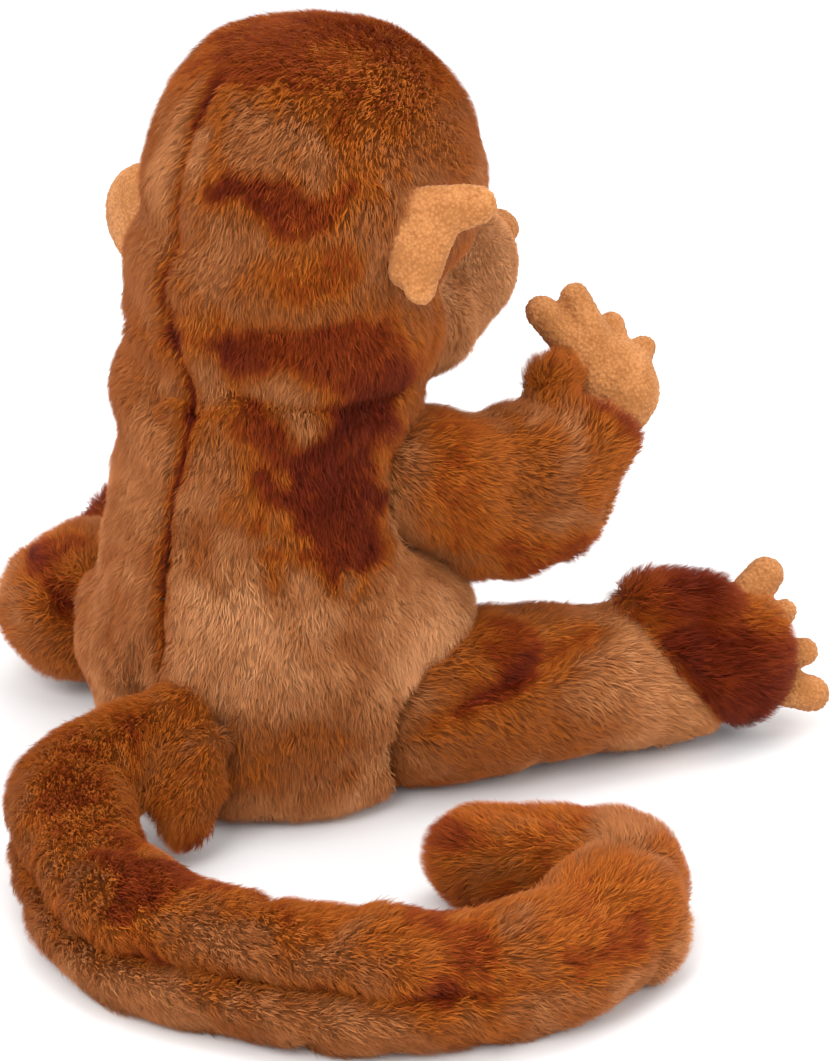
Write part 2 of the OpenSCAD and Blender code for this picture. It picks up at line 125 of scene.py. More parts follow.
def value_noise(p, size, seed):
    """Smooth noise from -1 to 1 whose lumps are about as large as size."""
    q = p / size
    cell = np.floor(q).astype(np.int64)
    t = q - cell
    t = t * t * (3 - 2 * t)
    total = np.zeros(len(p))
    for dx in (0, 1):
        for dy in (0, 1):
            for dz in (0, 1):
                weight = (
                    (t[:, 0] if dx else 1 - t[:, 0])
                    * (t[:, 1] if dy else 1 - t[:, 1])
                    * (t[:, 2] if dz else 1 - t[:, 2])
                )
                total += weight * lattice(cell[:, 0] + dx, cell[:, 1] + dy, cell[:, 2] + dz, seed)
    return 2 * total - 1


def noise_vector(p, size, seed):
    return np.stack([value_noise(p, size, seed + k) for k in range(3)], axis=1)


def nearest_seed(p, size, seed):
    """The nearest of a set of jittered points about size apart, and how far away it is."""
    cell = np.floor(p / size).astype(np.int64)
    best = np.full(len(p), 1e9)
    where = np.zeros_like(p)
    for dx in (-1, 0, 1):
        for dy in (-1, 0, 1):
            for dz in (-1, 0, 1):
                c = cell + [dx, dy, dz]
                jitter = np.stack([lattice(c[:, 0], c[:, 1], c[:, 2], seed + k) for k in range(3)], axis=1)
                point = (c + jitter) * size
                d = np.linalg.norm(point - p, axis=1)
                nearer = d < best
                best[nearer] = d[nearer]
                where[nearer] = point[nearer]
    return where, best


def smoothstep(x, lo, hi):
    t = np.clip((x - lo) / (hi - lo), 0, 1)
    return t * t * (3 - 2 * t)


def bump(distance, width):
    return np.exp(-((distance / width) ** 2))


def between(a, b, share):
    return a + share * (b - a)


def beyond(p, a, b, share):
    """Which points lie past that share of the way from a to b."""
    return (p - between(a, b, share)) @ (b - a) > 0


def on_segment(p, a, b):
    """For each point, how far from a to b its nearest place lies, that place, and the gap to it."""
    t = np.clip((p - a) @ (b - a) / ((b - a) @ (b - a)), 0, 1)
    q = a + t[:, None] * (b - a)
    return t, q, np.linalg.norm(p - q, axis=1)


def nearest_on(p, points):
    """For each point, the nearest place on a line through places, the gap, and how many are passed."""
    best = np.full(len(p), 1e9)
    where = np.zeros_like(p)
    along = np.full(len(p), -1.0)
    for k, (a, b) in enumerate(zip(points[:-1], points[1:])):
        t, q, gap = on_segment(p, a, b)
        nearer = gap < best
        best[nearer] = gap[nearer]
        where[nearer] = q[nearer]
        along[nearer] = k + t[nearer]
    return where, best, along


# ---------------------------------------------------------------- meshes

def work_object(name, mesh):
    obj = bpy.data.objects.new(name, mesh)
    bpy.context.scene.collection.objects.link(obj)
    return obj


def read_mesh(mesh):
    """Vertices and quads of a remeshed mesh as arrays."""
    v = np.zeros(len(mesh.vertices) * 3)
    mesh.vertices.foreach_get("co", v)
    loops = np.zeros(len(mesh.loops), np.int64)
    mesh.loops.foreach_get("vertex_index", loops)
    return v.reshape(-1, 3), loops.reshape(-1, 4)


def blob(at, size, forward=(0, 1, 0)):
    """An ellipsoid to add to a union: its centre, half sizes and the way its Y axis points."""
    turn = Vector(forward).to_track_quat("Y", "Z").to_matrix().to_4x4()
    return Matrix.Translation(Vector(at)) @ turn @ Matrix.Diagonal((*size, 1))


def remeshed(name, nodes, blobs, voxel):
    """One closed quad skin round several CAD nodes and added ellipsoids."""
    bm = bmesh.new()
    for node in nodes:
        bm.from_mesh(frame["nodes"][node].data)
    for matrix in blobs:
        bmesh.ops.create_icosphere(bm, subdivisions=5, radius=1, matrix=matrix)
    mesh = bpy.data.meshes.new(name)
    bm.to_mesh(mesh)
    bm.free()
    obj = work_object(name, mesh)
    modifier = obj.modifiers.new("remesh", "REMESH")
    modifier.mode = "VOXEL"
    modifier.voxel_size = voxel
    evaluated = obj.evaluated_get(bpy.context.evaluated_depsgraph_get())
    v, quads = read_mesh(evaluated.to_mesh())
    evaluated.to_mesh_clear()
    bpy.data.objects.remove(obj)
    bpy.data.meshes.remove(mesh)
    return outer_shell(v, quads)


def edges_of(quads):
    pairs = np.concatenate([quads[:, [k, (k + 1) % 4]] for k in range(4)])
    return np.unique(np.sort(pairs, axis=1), axis=0)


def outer_shell(v, quads):
    """The largest connected part, without the shells of inner gaps."""
    edges = edges_of(quads)
    label = np.arange(len(v))
    while True:
        low = np.minimum(label[edges[:, 0]], label[edges[:, 1]])
        new = label.copy()
        np.minimum.at(new, edges[:, 0], low)
        np.minimum.at(new, edges[:, 1], low)
        new = new[new]
        if (new == label).all():
            break
        label = new
    names, counts = np.unique(label, return_counts=True)
    keep = label == names[counts.argmax()]
    return take(v, quads[keep[quads[:, 0]]])


def take(v, quads, *more):
    """The vertices that the quads use, the renumbered quads, and more arrays cut the same way."""
    used = np.unique(quads)
    index = np.full(len(v), -1)
    index[used] = np.arange(len(used))
    return (v[used], index[quads], *(m[used] for m in more))


def vertex_normals(v, quads):
    face = np.cross(v[quads[:, 2]] - v[quads[:, 0]], v[quads[:, 3]] - v[quads[:, 1]])
    n = np.zeros_like(v)
    for k in range(4):
        for axis in range(3):
            n[:, axis] += np.bincount(quads[:, k], face[:, axis], len(v))
    return unit(n)


def smoothed(v, quads, rounds, keep_size=True):
    """Evens out a skin. With keep_size each round is followed by a step back, so it doesn't shrink."""
    edges = edges_of(quads)
    count = np.bincount(edges.ravel(), minlength=len(v))[:, None]
    for step in [0.55, -0.57] * rounds if keep_size else [0.5] * rounds:
        total = np.zeros_like(v)
        for axis in range(3):
            total[:, axis] += np.bincount(edges[:, 0], v[edges[:, 1], axis], len(v))
            total[:, axis] += np.bincount(edges[:, 1], v[edges[:, 0], axis], len(v))
        v = v + step * (total / count - v)
    return v


def mesh_object(name, v, faces, uv, materials, normals=None):
    """A smooth-shaded mesh from vertices, arrays of faces of one size each, and a UV for each vertex."""
    v = np.stack([v[:, 0], v[:, 1], np.maximum(v[:, 2], FLOOR_GAP)], axis=1)
    mesh = bpy.data.meshes.new(name)
    mesh.vertices.add(len(v))
    mesh.vertices.foreach_set("co", v.astype(np.float32).ravel())
    loops = np.concatenate([f.ravel() for f in faces])
    sizes = np.concatenate([np.full(len(f), f.shape[1]) for f in faces])
    mesh.loops.add(len(loops))
    mesh.loops.foreach_set("vertex_index", loops.astype(np.int32))
    mesh.polygons.add(len(sizes))
    mesh.polygons.foreach_set("loop_start", (np.cumsum(sizes) - sizes).astype(np.int32))
    mesh.polygons.foreach_set("use_smooth", np.ones(len(sizes), bool))
    mesh.update(calc_edges=True)
    layer = mesh.uv_layers.new(name="OFBake")
    layer.data.foreach_set("uv", uv[loops].astype(np.float32).ravel())
    for material in materials:
        mesh.materials.append(material)
    if normals is not None:
        mesh.normals_split_custom_set_from_vertices(normals)
    return work_object(name, mesh)


# ---------------------------------------------------------------- materials

def set_inputs(node, values):
    for name, value in values.items():
        node.inputs[name].default_value = value


def node_material(name):
    material = bpy.data.materials.new(name)
    material.use_nodes = True
    tree = material.node_tree
    return material, tree, tree.nodes["Principled BSDF"]


def ramp(tree, stops):
    node = tree.nodes.new("ShaderNodeValToRGB")
    elements = node.color_ramp.elements
    while len(elements) < len(stops):
        elements.new(0.5)
    for element, (at, colour) in zip(elements, stops):
        element.position = at
        element.color = (*colour, 1)
    return node


def multiplied(tree, first, second):
    """The product of two colours."""
    mix = tree.nodes.new("ShaderNodeMix")
    mix.data_type = "RGBA"
    mix.blend_type = "MULTIPLY"
    mix.inputs["Factor"].default_value = 1.0
    tree.links.new(first, mix.inputs["A"])
    tree.links.new(second, mix.inputs["B"])
    return mix.outputs["Result"]


def shade_map(tree):
    """The two numbers of the OFBake map: across it the shade, and up it from root to tip."""
    where = tree.nodes.new("ShaderNodeUVMap")
    where.uv_map = "OFBake"
    split = tree.nodes.new("ShaderNodeSeparateXYZ")
    tree.links.new(where.outputs["UV"], split.inputs[0])
    return split.outputs["X"], split.outputs["Y"]


def fur_material(stops):
    """The skin and its tufts, with painted shade: darker towards the roots and on the skin between the
    tufts.
    """
    material, tree, surface = node_material("fur")
    link = tree.links.new
    across, upward = shade_map(tree)
    shade = ramp(tree, stops)
    link(across, shade.inputs["Fac"])
    # painted shade: this ramp darkens the roots and the bare skin, where the pile shades itself, and
    # lightens the tips a little
    depth = ramp(tree, [(0.0, (0.42,) * 3), (0.45, (0.80,) * 3), (0.8, (0.98,) * 3), (1.0, (1.12,) * 3)])
    link(upward, depth.inputs["Fac"])
    link(multiplied(tree, shade.outputs["Color"], depth.outputs["Color"]), surface.inputs["Base Color"])
    grain = tree.nodes.new("ShaderNodeTexNoise")
    set_inputs(grain, {"Scale": 900})
    rough = tree.nodes.new("ShaderNodeMapRange")
    set_inputs(rough, {"To Min": 0.55, "To Max": 0.80})
    link(grain.outputs["Fac"], rough.inputs["Value"])
    link(rough.outputs["Result"], surface.inputs["Roughness"])
    set_inputs(surface, {
        "Specular IOR Level": 0.12,
        "Sheen Weight": 0.06,
        "Sheen Roughness": 0.45,
        "Sheen Tint": (1.0, 0.86, 0.70, 1),
    })
    return material


def hair_material(stops):
    """Single fine hairs, in the same shades as the tufts they grow between, with painted shade towards their
    roots.
    """
    material, tree, surface = node_material("fine_hair")
    link = tree.links.new
    across, _ = shade_map(tree)
    strand = tree.nodes.new("ShaderNodeHairInfo")
    vary = tree.nodes.new("ShaderNodeMath")
    vary.operation = "MULTIPLY_ADD"
    vary.inputs[1].default_value = 0.10
    link(strand.outputs["Random"], vary.inputs[0])
    link(across, vary.inputs[2])
    shade = ramp(tree, stops)
    link(vary.outputs[0], shade.inputs["Fac"])
    # painted shade: darker towards the root of each hair, lighter at its tip
    depth = ramp(tree, [(0.0, (0.45,) * 3), (0.5, (0.85,) * 3), (1.0, (1.10,) * 3)])
    link(strand.outputs["Intercept"], depth.inputs["Fac"])
    link(multiplied(tree, shade.outputs["Color"], depth.outputs["Color"]), surface.inputs["Base Color"])
    set_inputs(surface, {"Roughness": 0.50, "Specular IOR Level": 0.20})
    return material


def cloth_material(name, stops, scale, bump_height, sheen):
    """Short looped or woven cloth: blotchy colour with a fine bump, and painted shade that darkens the dips
    between the loops.
    """
    material, tree, surface = node_material(name)
    link = tree.links.new
    place = tree.nodes.new("ShaderNodeTexCoord")
    loops = tree.nodes.new("ShaderNodeTexVoronoi")
    set_inputs(loops, {"Scale": scale})
    link(place.outputs["Object"], loops.inputs["Vector"])
    blotches = tree.nodes.new("ShaderNodeTexNoise")
    set_inputs(blotches, {"Scale": scale / 9, "Detail": 4})
    link(place.outputs["Object"], blotches.inputs["Vector"])
    # painted shade: the colour darkens where the bump dips between the loops
    add = tree.nodes.new("ShaderNodeMath")
    add.operation = "MULTIPLY_ADD"
    add.inputs[1].default_value = -0.55
    link(loops.outputs["Distance"], add.inputs[0])
    link(blotches.outputs["Fac"], add.inputs[2])
    shade = ramp(tree, stops)
    link(add.outputs[0], shade.inputs["Fac"])
    link(shade.outputs["Color"], surface.inputs["Base Color"])
    height = tree.nodes.new("ShaderNodeBump")
    set_inputs(height, {"Strength": 0.6, "Distance": bump_height})
    height.invert = True
    link(loops.outputs["Distance"], height.inputs["Height"])
    link(height.outputs["Normal"], surface.inputs["Normal"])
    set_inputs(surface, {
        "Roughness": 0.9,
        "Specular IOR Level": 0.2,
        "Sheen Weight": sheen,
        "Sheen Tint": (1.0, 0.88, 0.74, 1),
    })
    return material


# From dark auburn through rust and orange to brown, tan and the lightest tips
SHADES = [
    (0.00, (0.104, 0.009, 0.001)),
    (0.16, (0.180, 0.016, 0.001)),
    (0.30, (0.310, 0.043, 0.002)),
    (0.42, (0.550, 0.140, 0.010)),
    (0.56, (0.395, 0.110, 0.022)),
    (0.76, (0.600, 0.230, 0.074)),
    (1.00, (0.880, 0.430, 0.185)),
]
FUR = fur_material(SHADES)
HAIR = hair_material(SHADES)
TERRY = cloth_material("terry", [
    (0.10, (0.400, 0.150, 0.042)),
    (0.42, (0.560, 0.230, 0.074)),
    (0.75, (0.660, 0.305, 0.112)),
], scale=620, bump_height=0.0006, sheen=0.15)
THREAD = cloth_material("thread", [
    (0.10, (0.040, 0.012, 0.005)),
    (0.60, (0.110, 0.035, 0.014)),
    (0.90, (0.190, 0.075, 0.032)),
], scale=1500, bump_height=0.0002, sheen=0.1)
BAG = cloth_material("bag_cloth", [
    (0.10, (0.50, 0.46, 0.37)),
    (0.50, (0.66, 0.61, 0.50)),
    (0.90, (0.76, 0.72, 0.62)),
], scale=900, bump_height=0.0002, sheen=0.1)


def plastic_material(name, scale, stops, rough, coat=0.0):
    """Moulded plastic, faintly mottled."""
    material, tree, surface = node_material(name)
    mottle = tree.nodes.new("ShaderNodeTexNoise")
    set_inputs(mottle, {"Scale": scale})
    shade = ramp(tree, stops)
    tree.links.new(mottle.outputs["Fac"], shade.inputs["Fac"])
    tree.links.new(shade.outputs["Color"], surface.inputs["Base Color"])
    set_inputs(surface, {"Roughness": rough, "Coat Weight": coat, "Coat Roughness": 0.03})
    return material


EYE = plastic_material(
    "eye_plastic", 260, [(0.35, (0.010, 0.004, 0.002)), (0.70, (0.040, 0.014, 0.006))], 0.12, coat=1.0
)
WASHER = plastic_material(
    "washer_plastic", 180, [(0.3, (0.70, 0.68, 0.62)), (0.7, (0.80, 0.78, 0.73))], 0.45
)


# ---------------------------------------------------------------- fur

def comb_map(mesh, v, quads, n, coat):
    """A second map that lies along the comb on each face, so that the hair leans that way."""
    middle = v[quads].mean(1)
    normal = unit(n[quads].mean(1))
    comb = coat["comb"](middle, normal) + COMB_DRIFT * noise_vector(middle, 0.022, SEED)
    lay = unit(comb - (comb * normal).sum(1, keepdims=True) * normal)
    across = np.cross(normal, lay)
    corners = v[quads]
    uv = np.zeros((len(mesh.loops), 2), np.float32)
    uv[: 4 * len(quads), 0] = (corners * lay[:, None]).sum(2).ravel()
    uv[: 4 * len(quads), 1] = (corners * across[:, None]).sum(2).ravel()
    layer = mesh.uv_layers.new(name="comb")
    layer.data.foreach_set("uv", uv.ravel())
    mesh.uv_layers.active = layer


def triangles(v, quads):
    """The two triangles of each quad, and their areas."""
    tris = np.concatenate([quads[:, [0, 1, 2]], quads[:, [0, 2, 3]]])
    area = np.linalg.norm(np.cross(v[tris[:, 1]] - v[tris[:, 0]], v[tris[:, 2]] - v[tris[:, 0]]), axis=1) / 2
    return tris, area


def grow_hair(obj, v, quads, n, coat):
    """Fine hair on the skin of a piece, and none on its tufts."""
    comb_map(obj.data, v, quads, n, coat)
    obj.vertex_groups.new(name="skin").add(list(range(len(v))), 1.0, "REPLACE")
    pile = obj.vertex_groups.new(name="pile")
    lengths = np.round(coat["length"](v) / LONGEST, 2)
    for share in np.unique(lengths):
        pile.add(np.flatnonzero(lengths == share).tolist(), float(share), "REPLACE")
    obj.modifiers.new("hair", "PARTICLE_SYSTEM").show_viewport = False
    system = obj.particle_systems[-1]
    system.seed = SEED
    system.vertex_group_density = "skin"
    system.vertex_group_length = "pile"
    reach = LONGEST / 4
    settings = {
        "type": "HAIR",
        "count": int(triangles(v, quads)[1].sum() * LOCKS_PER_M2),
        "use_advanced_hair": True,
        "emit_from": "FACE",
        "distribution": "RAND",
        "use_emit_random": True,
        "hair_step": 4,
        "render_step": 2,
        "normal_factor": reach * math.cos(coat["lean"]),
        "tangent_factor": reach * math.sin(coat["lean"]),
        "tangent_phase": 0.5,
        "child_type": "INTERPOLATED",
        "child_percent": 0,
        "rendered_child_count": HAIRS_PER_LOCK,
        "clump_factor": 0.36,
        "clump_shape": 0.1,
        "roughness_1": 0.0028,
        "roughness_1_size": 0.010,
        "roughness_2": 0.0016,
        "roughness_2_size": 0.020,
        "roughness_endpoint": 0.0016,
        "root_radius": 1.0,
        "tip_radius": 0.15,
        "radius_scale": HAIR_RADIUS,
        "material": 2,
    }
    for key, value in settings.items():
        setattr(system.settings, key, value)


def scatter(v, quads, per_m2, rng):
    """Random points on a skin: their places and the face and corner weights that give them."""
    tris, area = triangles(v, quads)
    count = int(area.sum() * per_m2)
    pick = np.searchsorted(np.cumsum(area) / area.sum(), rng.random(count))
    a, b = rng.random((2, count))
    flip = a + b > 1
    a[flip], b[flip] = 1 - a[flip], 1 - b[flip]
    weights = np.stack([1 - a - b, a, b], axis=1)[:, :, None]
    return tris[np.minimum(pick, len(tris) - 1)], weights


def tufts(v, n, quads, coat, per_m2, rng):
    """Solid tapered tufts with a bend: their vertices, quads, triangles and OFBake places."""
    tris, weights = scatter(v, quads, per_m2, rng)
    root = (v[tris] * weights).sum(1)
    normal = unit((n[tris] * weights).sum(1))
    count = len(root)
    comb = coat["comb"](root, normal) + COMB_DRIFT * noise_vector(root, 0.022, SEED)
    comb = comb + 0.28 * noise_vector(root, 0.006, SEED + 7) + 0.20 * rng.normal(size=(count, 3))
    lay = unit(comb - (comb * normal).sum(1, keepdims=True) * normal)
    length = TUFT_SHARE * coat["length"](root) * (1 + 0.16 * rng.normal(size=count))
    length = length * (1 + 0.15 * value_noise(root, 0.03, SEED + 3))
    lean = coat["lean"] + 0.10 * rng.normal(size=count) + 0.16 * value_noise(root, 0.018, SEED + 5)
    low, high = lean - 0.42, lean + 0.30
    first = np.cos(low)[:, None] * normal + np.sin(low)[:, None] * lay
    second = np.cos(high)[:, None] * normal + np.sin(high)[:, None] * lay
    clump, _ = nearest_seed(root, CLUMP, SEED + 9)
    pull = (clump - root) - ((clump - root) * normal).sum(1, keepdims=True) * normal
    middle = root + first * length[:, None] * 0.5 + 0.12 * pull
    tip = middle + second * length[:, None] * 0.5 + 0.26 * pull
    base = root - normal * 0.0010
    side = unit(np.cross(first, normal + 0.3 * lay))
    face = np.cross(first, side)
    width = TUFT_WIDTH * (1 + 0.25 * rng.random(count))[:, None] * coat.get("width", 1.0)
    corners = (math.pi / 2, math.pi * 7 / 6, math.pi * 11 / 6)
    ring = [side * math.cos(t) + face * math.sin(t) for t in corners]
    low_ring = [base + r * width * 0.42 for r in ring]
    points = np.stack(low_ring + [middle + r * width * 0.40 for r in ring] + [tip], axis=1)
    start = 7 * np.arange(count)[:, None]
    sides = np.concatenate([start + [k, (k + 1) % 3, 3 + (k + 1) % 3, 3 + k] for k in range(3)])
    ends = np.concatenate([start + [3 + k, 3 + (k + 1) % 3, 6] for k in range(3)])
    tone = coat["tone"](root) + 0.035 * rng.normal(size=count) + 0.09 * value_noise(root, 0.0045, SEED + 21)
    spread = np.array([-0.008, 0.0, 0.008, -0.008, 0.0, 0.008, 0.0])
    height = np.array([0.03, 0.03, 0.03, 0.5, 0.5, 0.5, 0.98])
    uv = np.stack(np.broadcast_arrays(np.clip(tone, 0.02, 0.98)[:, None] + spread, height), axis=2)
    facing = ring * 2 + [normal]
    soft = np.stack([unit(SOFT_NORMAL * normal + (1 - SOFT_NORMAL) * r) for r in facing], axis=1)
    return points.reshape(-1, 3), sides, ends, uv.reshape(-1, 2), soft.reshape(-1, 3)


def fur_piece(name, skin, faces, coat, body, replaced):
    """One piece of stuffed fur: the faces of a skin with their pile, on one body, or with its place baked
    into its vertices when given two.
    """
    v, quads, n = take(skin["v"], skin["quads"][faces], skin["n"])
    rng = np.random.default_rng(SEED + sum(map(ord, name)))
    tv, sides, ends, tuv, tn = tufts(v, n, quads, coat, TUFTS_PER_M2 * coat.get("density", 1.0), rng)
    tone = np.clip(coat["tone"](v), 0.02, 0.98)
    # the skin takes the root end of the fur's ramp: painted shade under the pile
    uv = np.stack([tone, 0.02 + 0.02 * rng.random(len(v))], axis=1)
    faces = [quads, sides + len(v), ends + len(v)]
    obj = mesh_object(
        name, np.concatenate([v, tv]), faces, np.concatenate([uv, tuv]), [FUR, HAIR], np.concatenate([n, tn])
    )
    grow_hair(obj, v, quads, n, coat)
    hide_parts(*replaced)
    if isinstance(body, str):
        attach(obj, body)
    else:
        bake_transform(obj)


# ---------------------------------------------------------------- colour of the fur

def patched(p, tone, patches):
    """Blends patches with ragged edges into a shade. A patch is its centre, its half sizes and its shade."""
    warp = 0.012
    q = p + warp * noise_vector(p, 0.026, SEED + 31) + 0.6 * warp * noise_vector(p, 0.011, SEED + 37)
    frost = 0.30 * value_noise(p, 0.007, SEED + 39)
    for at, size, value in patches:
        share = smoothstep(np.linalg.norm((q - at) / np.array(size), axis=1) + frost, 1.75, 0.70)
        tone = tone + share * (value - tone)
    return tone


def mottled(p, level, amount):
    """A shade with blotches of three sizes."""
    return (
        level + amount * value_noise(p, 0.045, SEED + 41) + 0.7 * amount * value_noise(p, 0.018, SEED + 43)
        + 0.70 * amount * value_noise(p, 0.0075, SEED + 45)
    )


def places(rows):
    """Patches from rows of place, half sizes and shade, with lengths in millimetres."""
    return [(np.array(at) * 0.001, np.array(size) * 0.001, shade) for at, size, shade in rows]


HEAD_PATCHES = places([
    ((-30, 8, 376), (66, 60, 28), 0.28),
    ((-62, -8, 366), (20, 24, 12), 0.38),
    ((-84, -24, 338), (20, 30, 14), 0.50),
    ((-20, 48, 318), (22, 20, 15), 0.14),
    ((-55, 38, 320), (30, 18, 9), 0.24),
    ((-38, 37, 346), (28, 20, 10), 0.63),
    ((-66, 30, 331), (26, 18, 6), 0.44),
    ((-48, 42, 334), (14, 12, 6), 0.60),
    ((-80, 18, 304), (16, 22, 12), 0.56),
    ((-75, 20, 281), (20, 20, 12), 0.62),
    ((-54, 36, 284), (17, 18, 14), 0.34),
    ((-60, 34, 262), (30, 20, 8), 0.53),
    ((-12, 50, 281), (18, 14, 15), 0.66),
    ((-4, 45, 340), (9, 12, 16), 0.43),
    ((36, 38, 275), (26, 28, 50), 0.60),
    ((22, 38, 340), (18, 18, 24), 0.78),
])
TORSO_PATCHES = places([
    ((-38, 32, 242), (52, 36, 12), 0.24),
    ((-68, 14, 222), (26, 30, 15), 0.17),
    ((-30, 46, 220), (30, 22, 11), 0.69),
    ((-48, 52, 202), (38, 28, 11), 0.26),
    ((-20, 69, 186), (20, 20, 15), 0.60),
    ((-66, 40, 177), (33, 36, 25), 0.11),
    ((-64, 46, 146), (22, 26, 15), 0.18),
    ((-84, 8, 176), (12, 22, 14), 0.30),
    ((-6, 80, 142), (9, 14, 22), 0.50),
    ((53, 28, 214), (34, 40, 34), 0.52),
    ((24, 66, 192), (20, 20, 20), 0.66),
    ((-26, 80, 118), (26, 18, 17), 0.88),
    # painted highlight: the lightest patch, low on the monkey's right side where the side light falls
    ((-90, -2, 86), (22, 24, 24), 0.98),
    ((-84, 13, 113), (12, 18, 12), 0.78),
    ((-58, 66, 52), (36, 30, 18), 0.54),
])


def creases(p, size, flat, seed):
    """Long wandering wrinkles, 1 along their bottoms. Flat above 1 makes them run more level."""
    q = p * [1, 1, flat] + 0.3 * size * noise_vector(p, size, seed)
    return bump(value_noise(q, size, seed + 5), 0.13)


def neck_wrinkles(p):
    return creases(p, 0.040, 1.9, SEED + 60) * bump(p[:, 2] - 0.228, 0.036) * smoothstep(p[:, 1], -0.05, 0.0)


def waist_wrinkles(p):
    return creases(p, 0.050, 1.3, SEED + 64) * smoothstep(p[:, 2], 0.19, 0.13)


def trunk_tone(p):
    """The head is brown and the back a lighter tan. Seams and wrinkles get painted shade: darker along their
    grooves.
    """
    level = 0.53 + 0.17 * smoothstep(p[:, 2], 0.215, 0.165)
    tone = patched(p, mottled(p, level, 0.12), HEAD_PATCHES + TORSO_PATCHES)
    muzzle = np.linalg.norm(p - centre("muzzle"), axis=1)
    tone = tone + smoothstep(muzzle, 0.080, 0.046) * (mottled(p, 0.88, 0.08) - tone)
    # painted shade along the back seam and in the neck and waist wrinkles
    return tone - 0.50 * seam_line(p, 0.0042) - 0.24 * neck_wrinkles(p) - 0.10 * waist_wrinkles(p)


# ---------------------------------------------------------------- trunk

TRUNK_NODES = [
    "seat_panel", "back_left_panel", "back_right_panel", "belly_panel", "torso_filling", "neck_collar",
    "head_back_left_panel", "head_back_right_panel", "face_panel", "head_filling", "muzzle",
]
TORSO_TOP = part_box("torso_filling")[1].z
SEAM_SHIFT = np.array([0.009, 0.0, 0.0])


def stuffed(name, nodes, blobs, rounds=10, lumps=0.0018):
    """A soft skin round the nodes, as far inside them as the pile is thick, with uneven stuffing."""
    v, quads = remeshed(name, nodes, blobs, VOXEL)
    v = smoothed(v, quads, 4, keep_size=False)
    v = v - INSET * vertex_normals(v, quads)
    v = smoothed(v, quads, rounds)
    n = vertex_normals(v, quads)
    uneven = lumps * value_noise(v, 0.034, SEED + 50) + 0.5 * lumps * value_noise(v, 0.015, SEED + 51)
    v = v + n * uneven[:, None]
    return {"v": v, "quads": quads, "n": vertex_normals(v, quads)}


def refresh(skin, v):
    skin["v"] = smoothed(v, skin["quads"], 2)
    skin["n"] = vertex_normals(skin["v"], skin["quads"])


def trunk_skin():
    """The skin of the body and head, with fillings at the neck, nape, cheeks, hips, rump, chin and lips."""
    skin = stuffed("trunk", TRUNK_NODES, [
        blob(HEAD * [1, 1, 0] * 0.55 + [0.004, 0.004, 0.238], (0.080, 0.076, 0.050)),
        blob(HEAD * [1, 1, 0] * 0.30 + [0.006, 0.004, 0.205], (0.079, 0.074, 0.042)),
        blob([-0.003, -0.011, 0.266], (0.078, 0.073, 0.048)),
        blob([-0.038, -0.021, 0.085], (0.060, 0.056, 0.050)),
        blob([0.034, 0.018, 0.074], (0.062, 0.058, 0.056)),
        blob(JOINT["tail_lift"] + [0, -0.034, 0.004], (0.042, 0.038, 0.042)),
        blob(HEAD + 0.050 * FORWARD + [0, 0, -0.036], (0.050, 0.052, 0.034), FORWARD),
        blob(centre("muzzle") + 0.006 * FORWARD, (0.041, 0.038, 0.036), FORWARD),
    ])
    v, n = skin["v"], skin["n"]
    cut = 0.0058 * seam_line(v, 0.0042) + 0.0050 * neck_wrinkles(v) + 0.0026 * waist_wrinkles(v)
    ring = np.linalg.norm((v - centre("muzzle")) / [1.0, 1.0, 0.92], axis=1)
    cut = cut + 0.0045 * bump(ring - 0.050, 0.008) * smoothstep((v - HEAD) @ FORWARD, 0.05, 0.08)
    refresh(skin, v - n * cut[:, None])
    return skin


def seam_line(p, width):
    """1 in the centre-back seam, from the crown to the tail, and 0 away from it."""
    behind = smoothstep((p - 0.6 * HEAD) @ -FORWARD, -0.005, 0.015)
    drift = 0.002 * value_noise(p, 0.05, SEED + 62)
    ends = smoothstep(p[:, 2], 0.070, 0.095) * smoothstep(p[:, 2], 0.368, 0.350)
    return bump(back_offset(p) + drift, width) * behind * ends


def back_offset(p):
    """Distance of a point from the plane of the centre-back seam, which turns with the head."""
    turn = smoothstep(p[:, 2], 0.20, 0.27)[:, None]
    at = turn * HEAD + smoothstep(p[:, 2], 0.205, 0.150)[:, None] * SEAM_SHIFT
    across = unit(np.array([-1.0, 0, 0]) * (1 - turn) + RIGHT * turn)
    return ((p - at) * across).sum(1)


def trunk_comb(p, n):
    part = back_offset(p)
    away = np.sign(part) * seam_line(p, 0.010) * 0.9
    crown = smoothstep(p[:, 2], 0.31, 0.375)
    return DOWN + away[:, None] * np.array([-1.0, 0, 0]) - 1.2 * crown[:, None] * FORWARD


def trunk_length(p):
    face = smoothstep((p - HEAD) @ FORWARD, 0.02, 0.08) * smoothstep(p[:, 2], 0.20, 0.24)
    muzzle = smoothstep(np.linalg.norm(p - centre("muzzle"), axis=1), 0.070, 0.045)
    return PILE_LENGTH * (1 - 0.30 * face - 0.30 * muzzle)


COAT = {"comb": trunk_comb, "length": trunk_length, "lean": LEAN, "tone": trunk_tone}


def sewn(name, points, body, node, radius=0.0006):
    """A row of thread through points, in place of a CAD thread."""
    curve = bpy.data.curves.new(name, "CURVE")
    curve.dimensions = "3D"
    curve.bevel_depth = radius
    curve.bevel_resolution = 2
    line = curve.splines.new("POLY")
    line.points.add(len(points) - 1)
    for point, at in zip(line.points, points):
        point.co = (*at, 1)
    curve.materials.append(THREAD)
    obj = work_object(name, curve)
    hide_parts(node)
    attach(obj, body)


def on_skin(skin, at, lift):
    """The nearest place on a skin, lifted off it."""
    k = np.linalg.norm(skin["v"] - at, axis=1).argmin()
    return skin["v"][k] + lift * skin["n"][k]


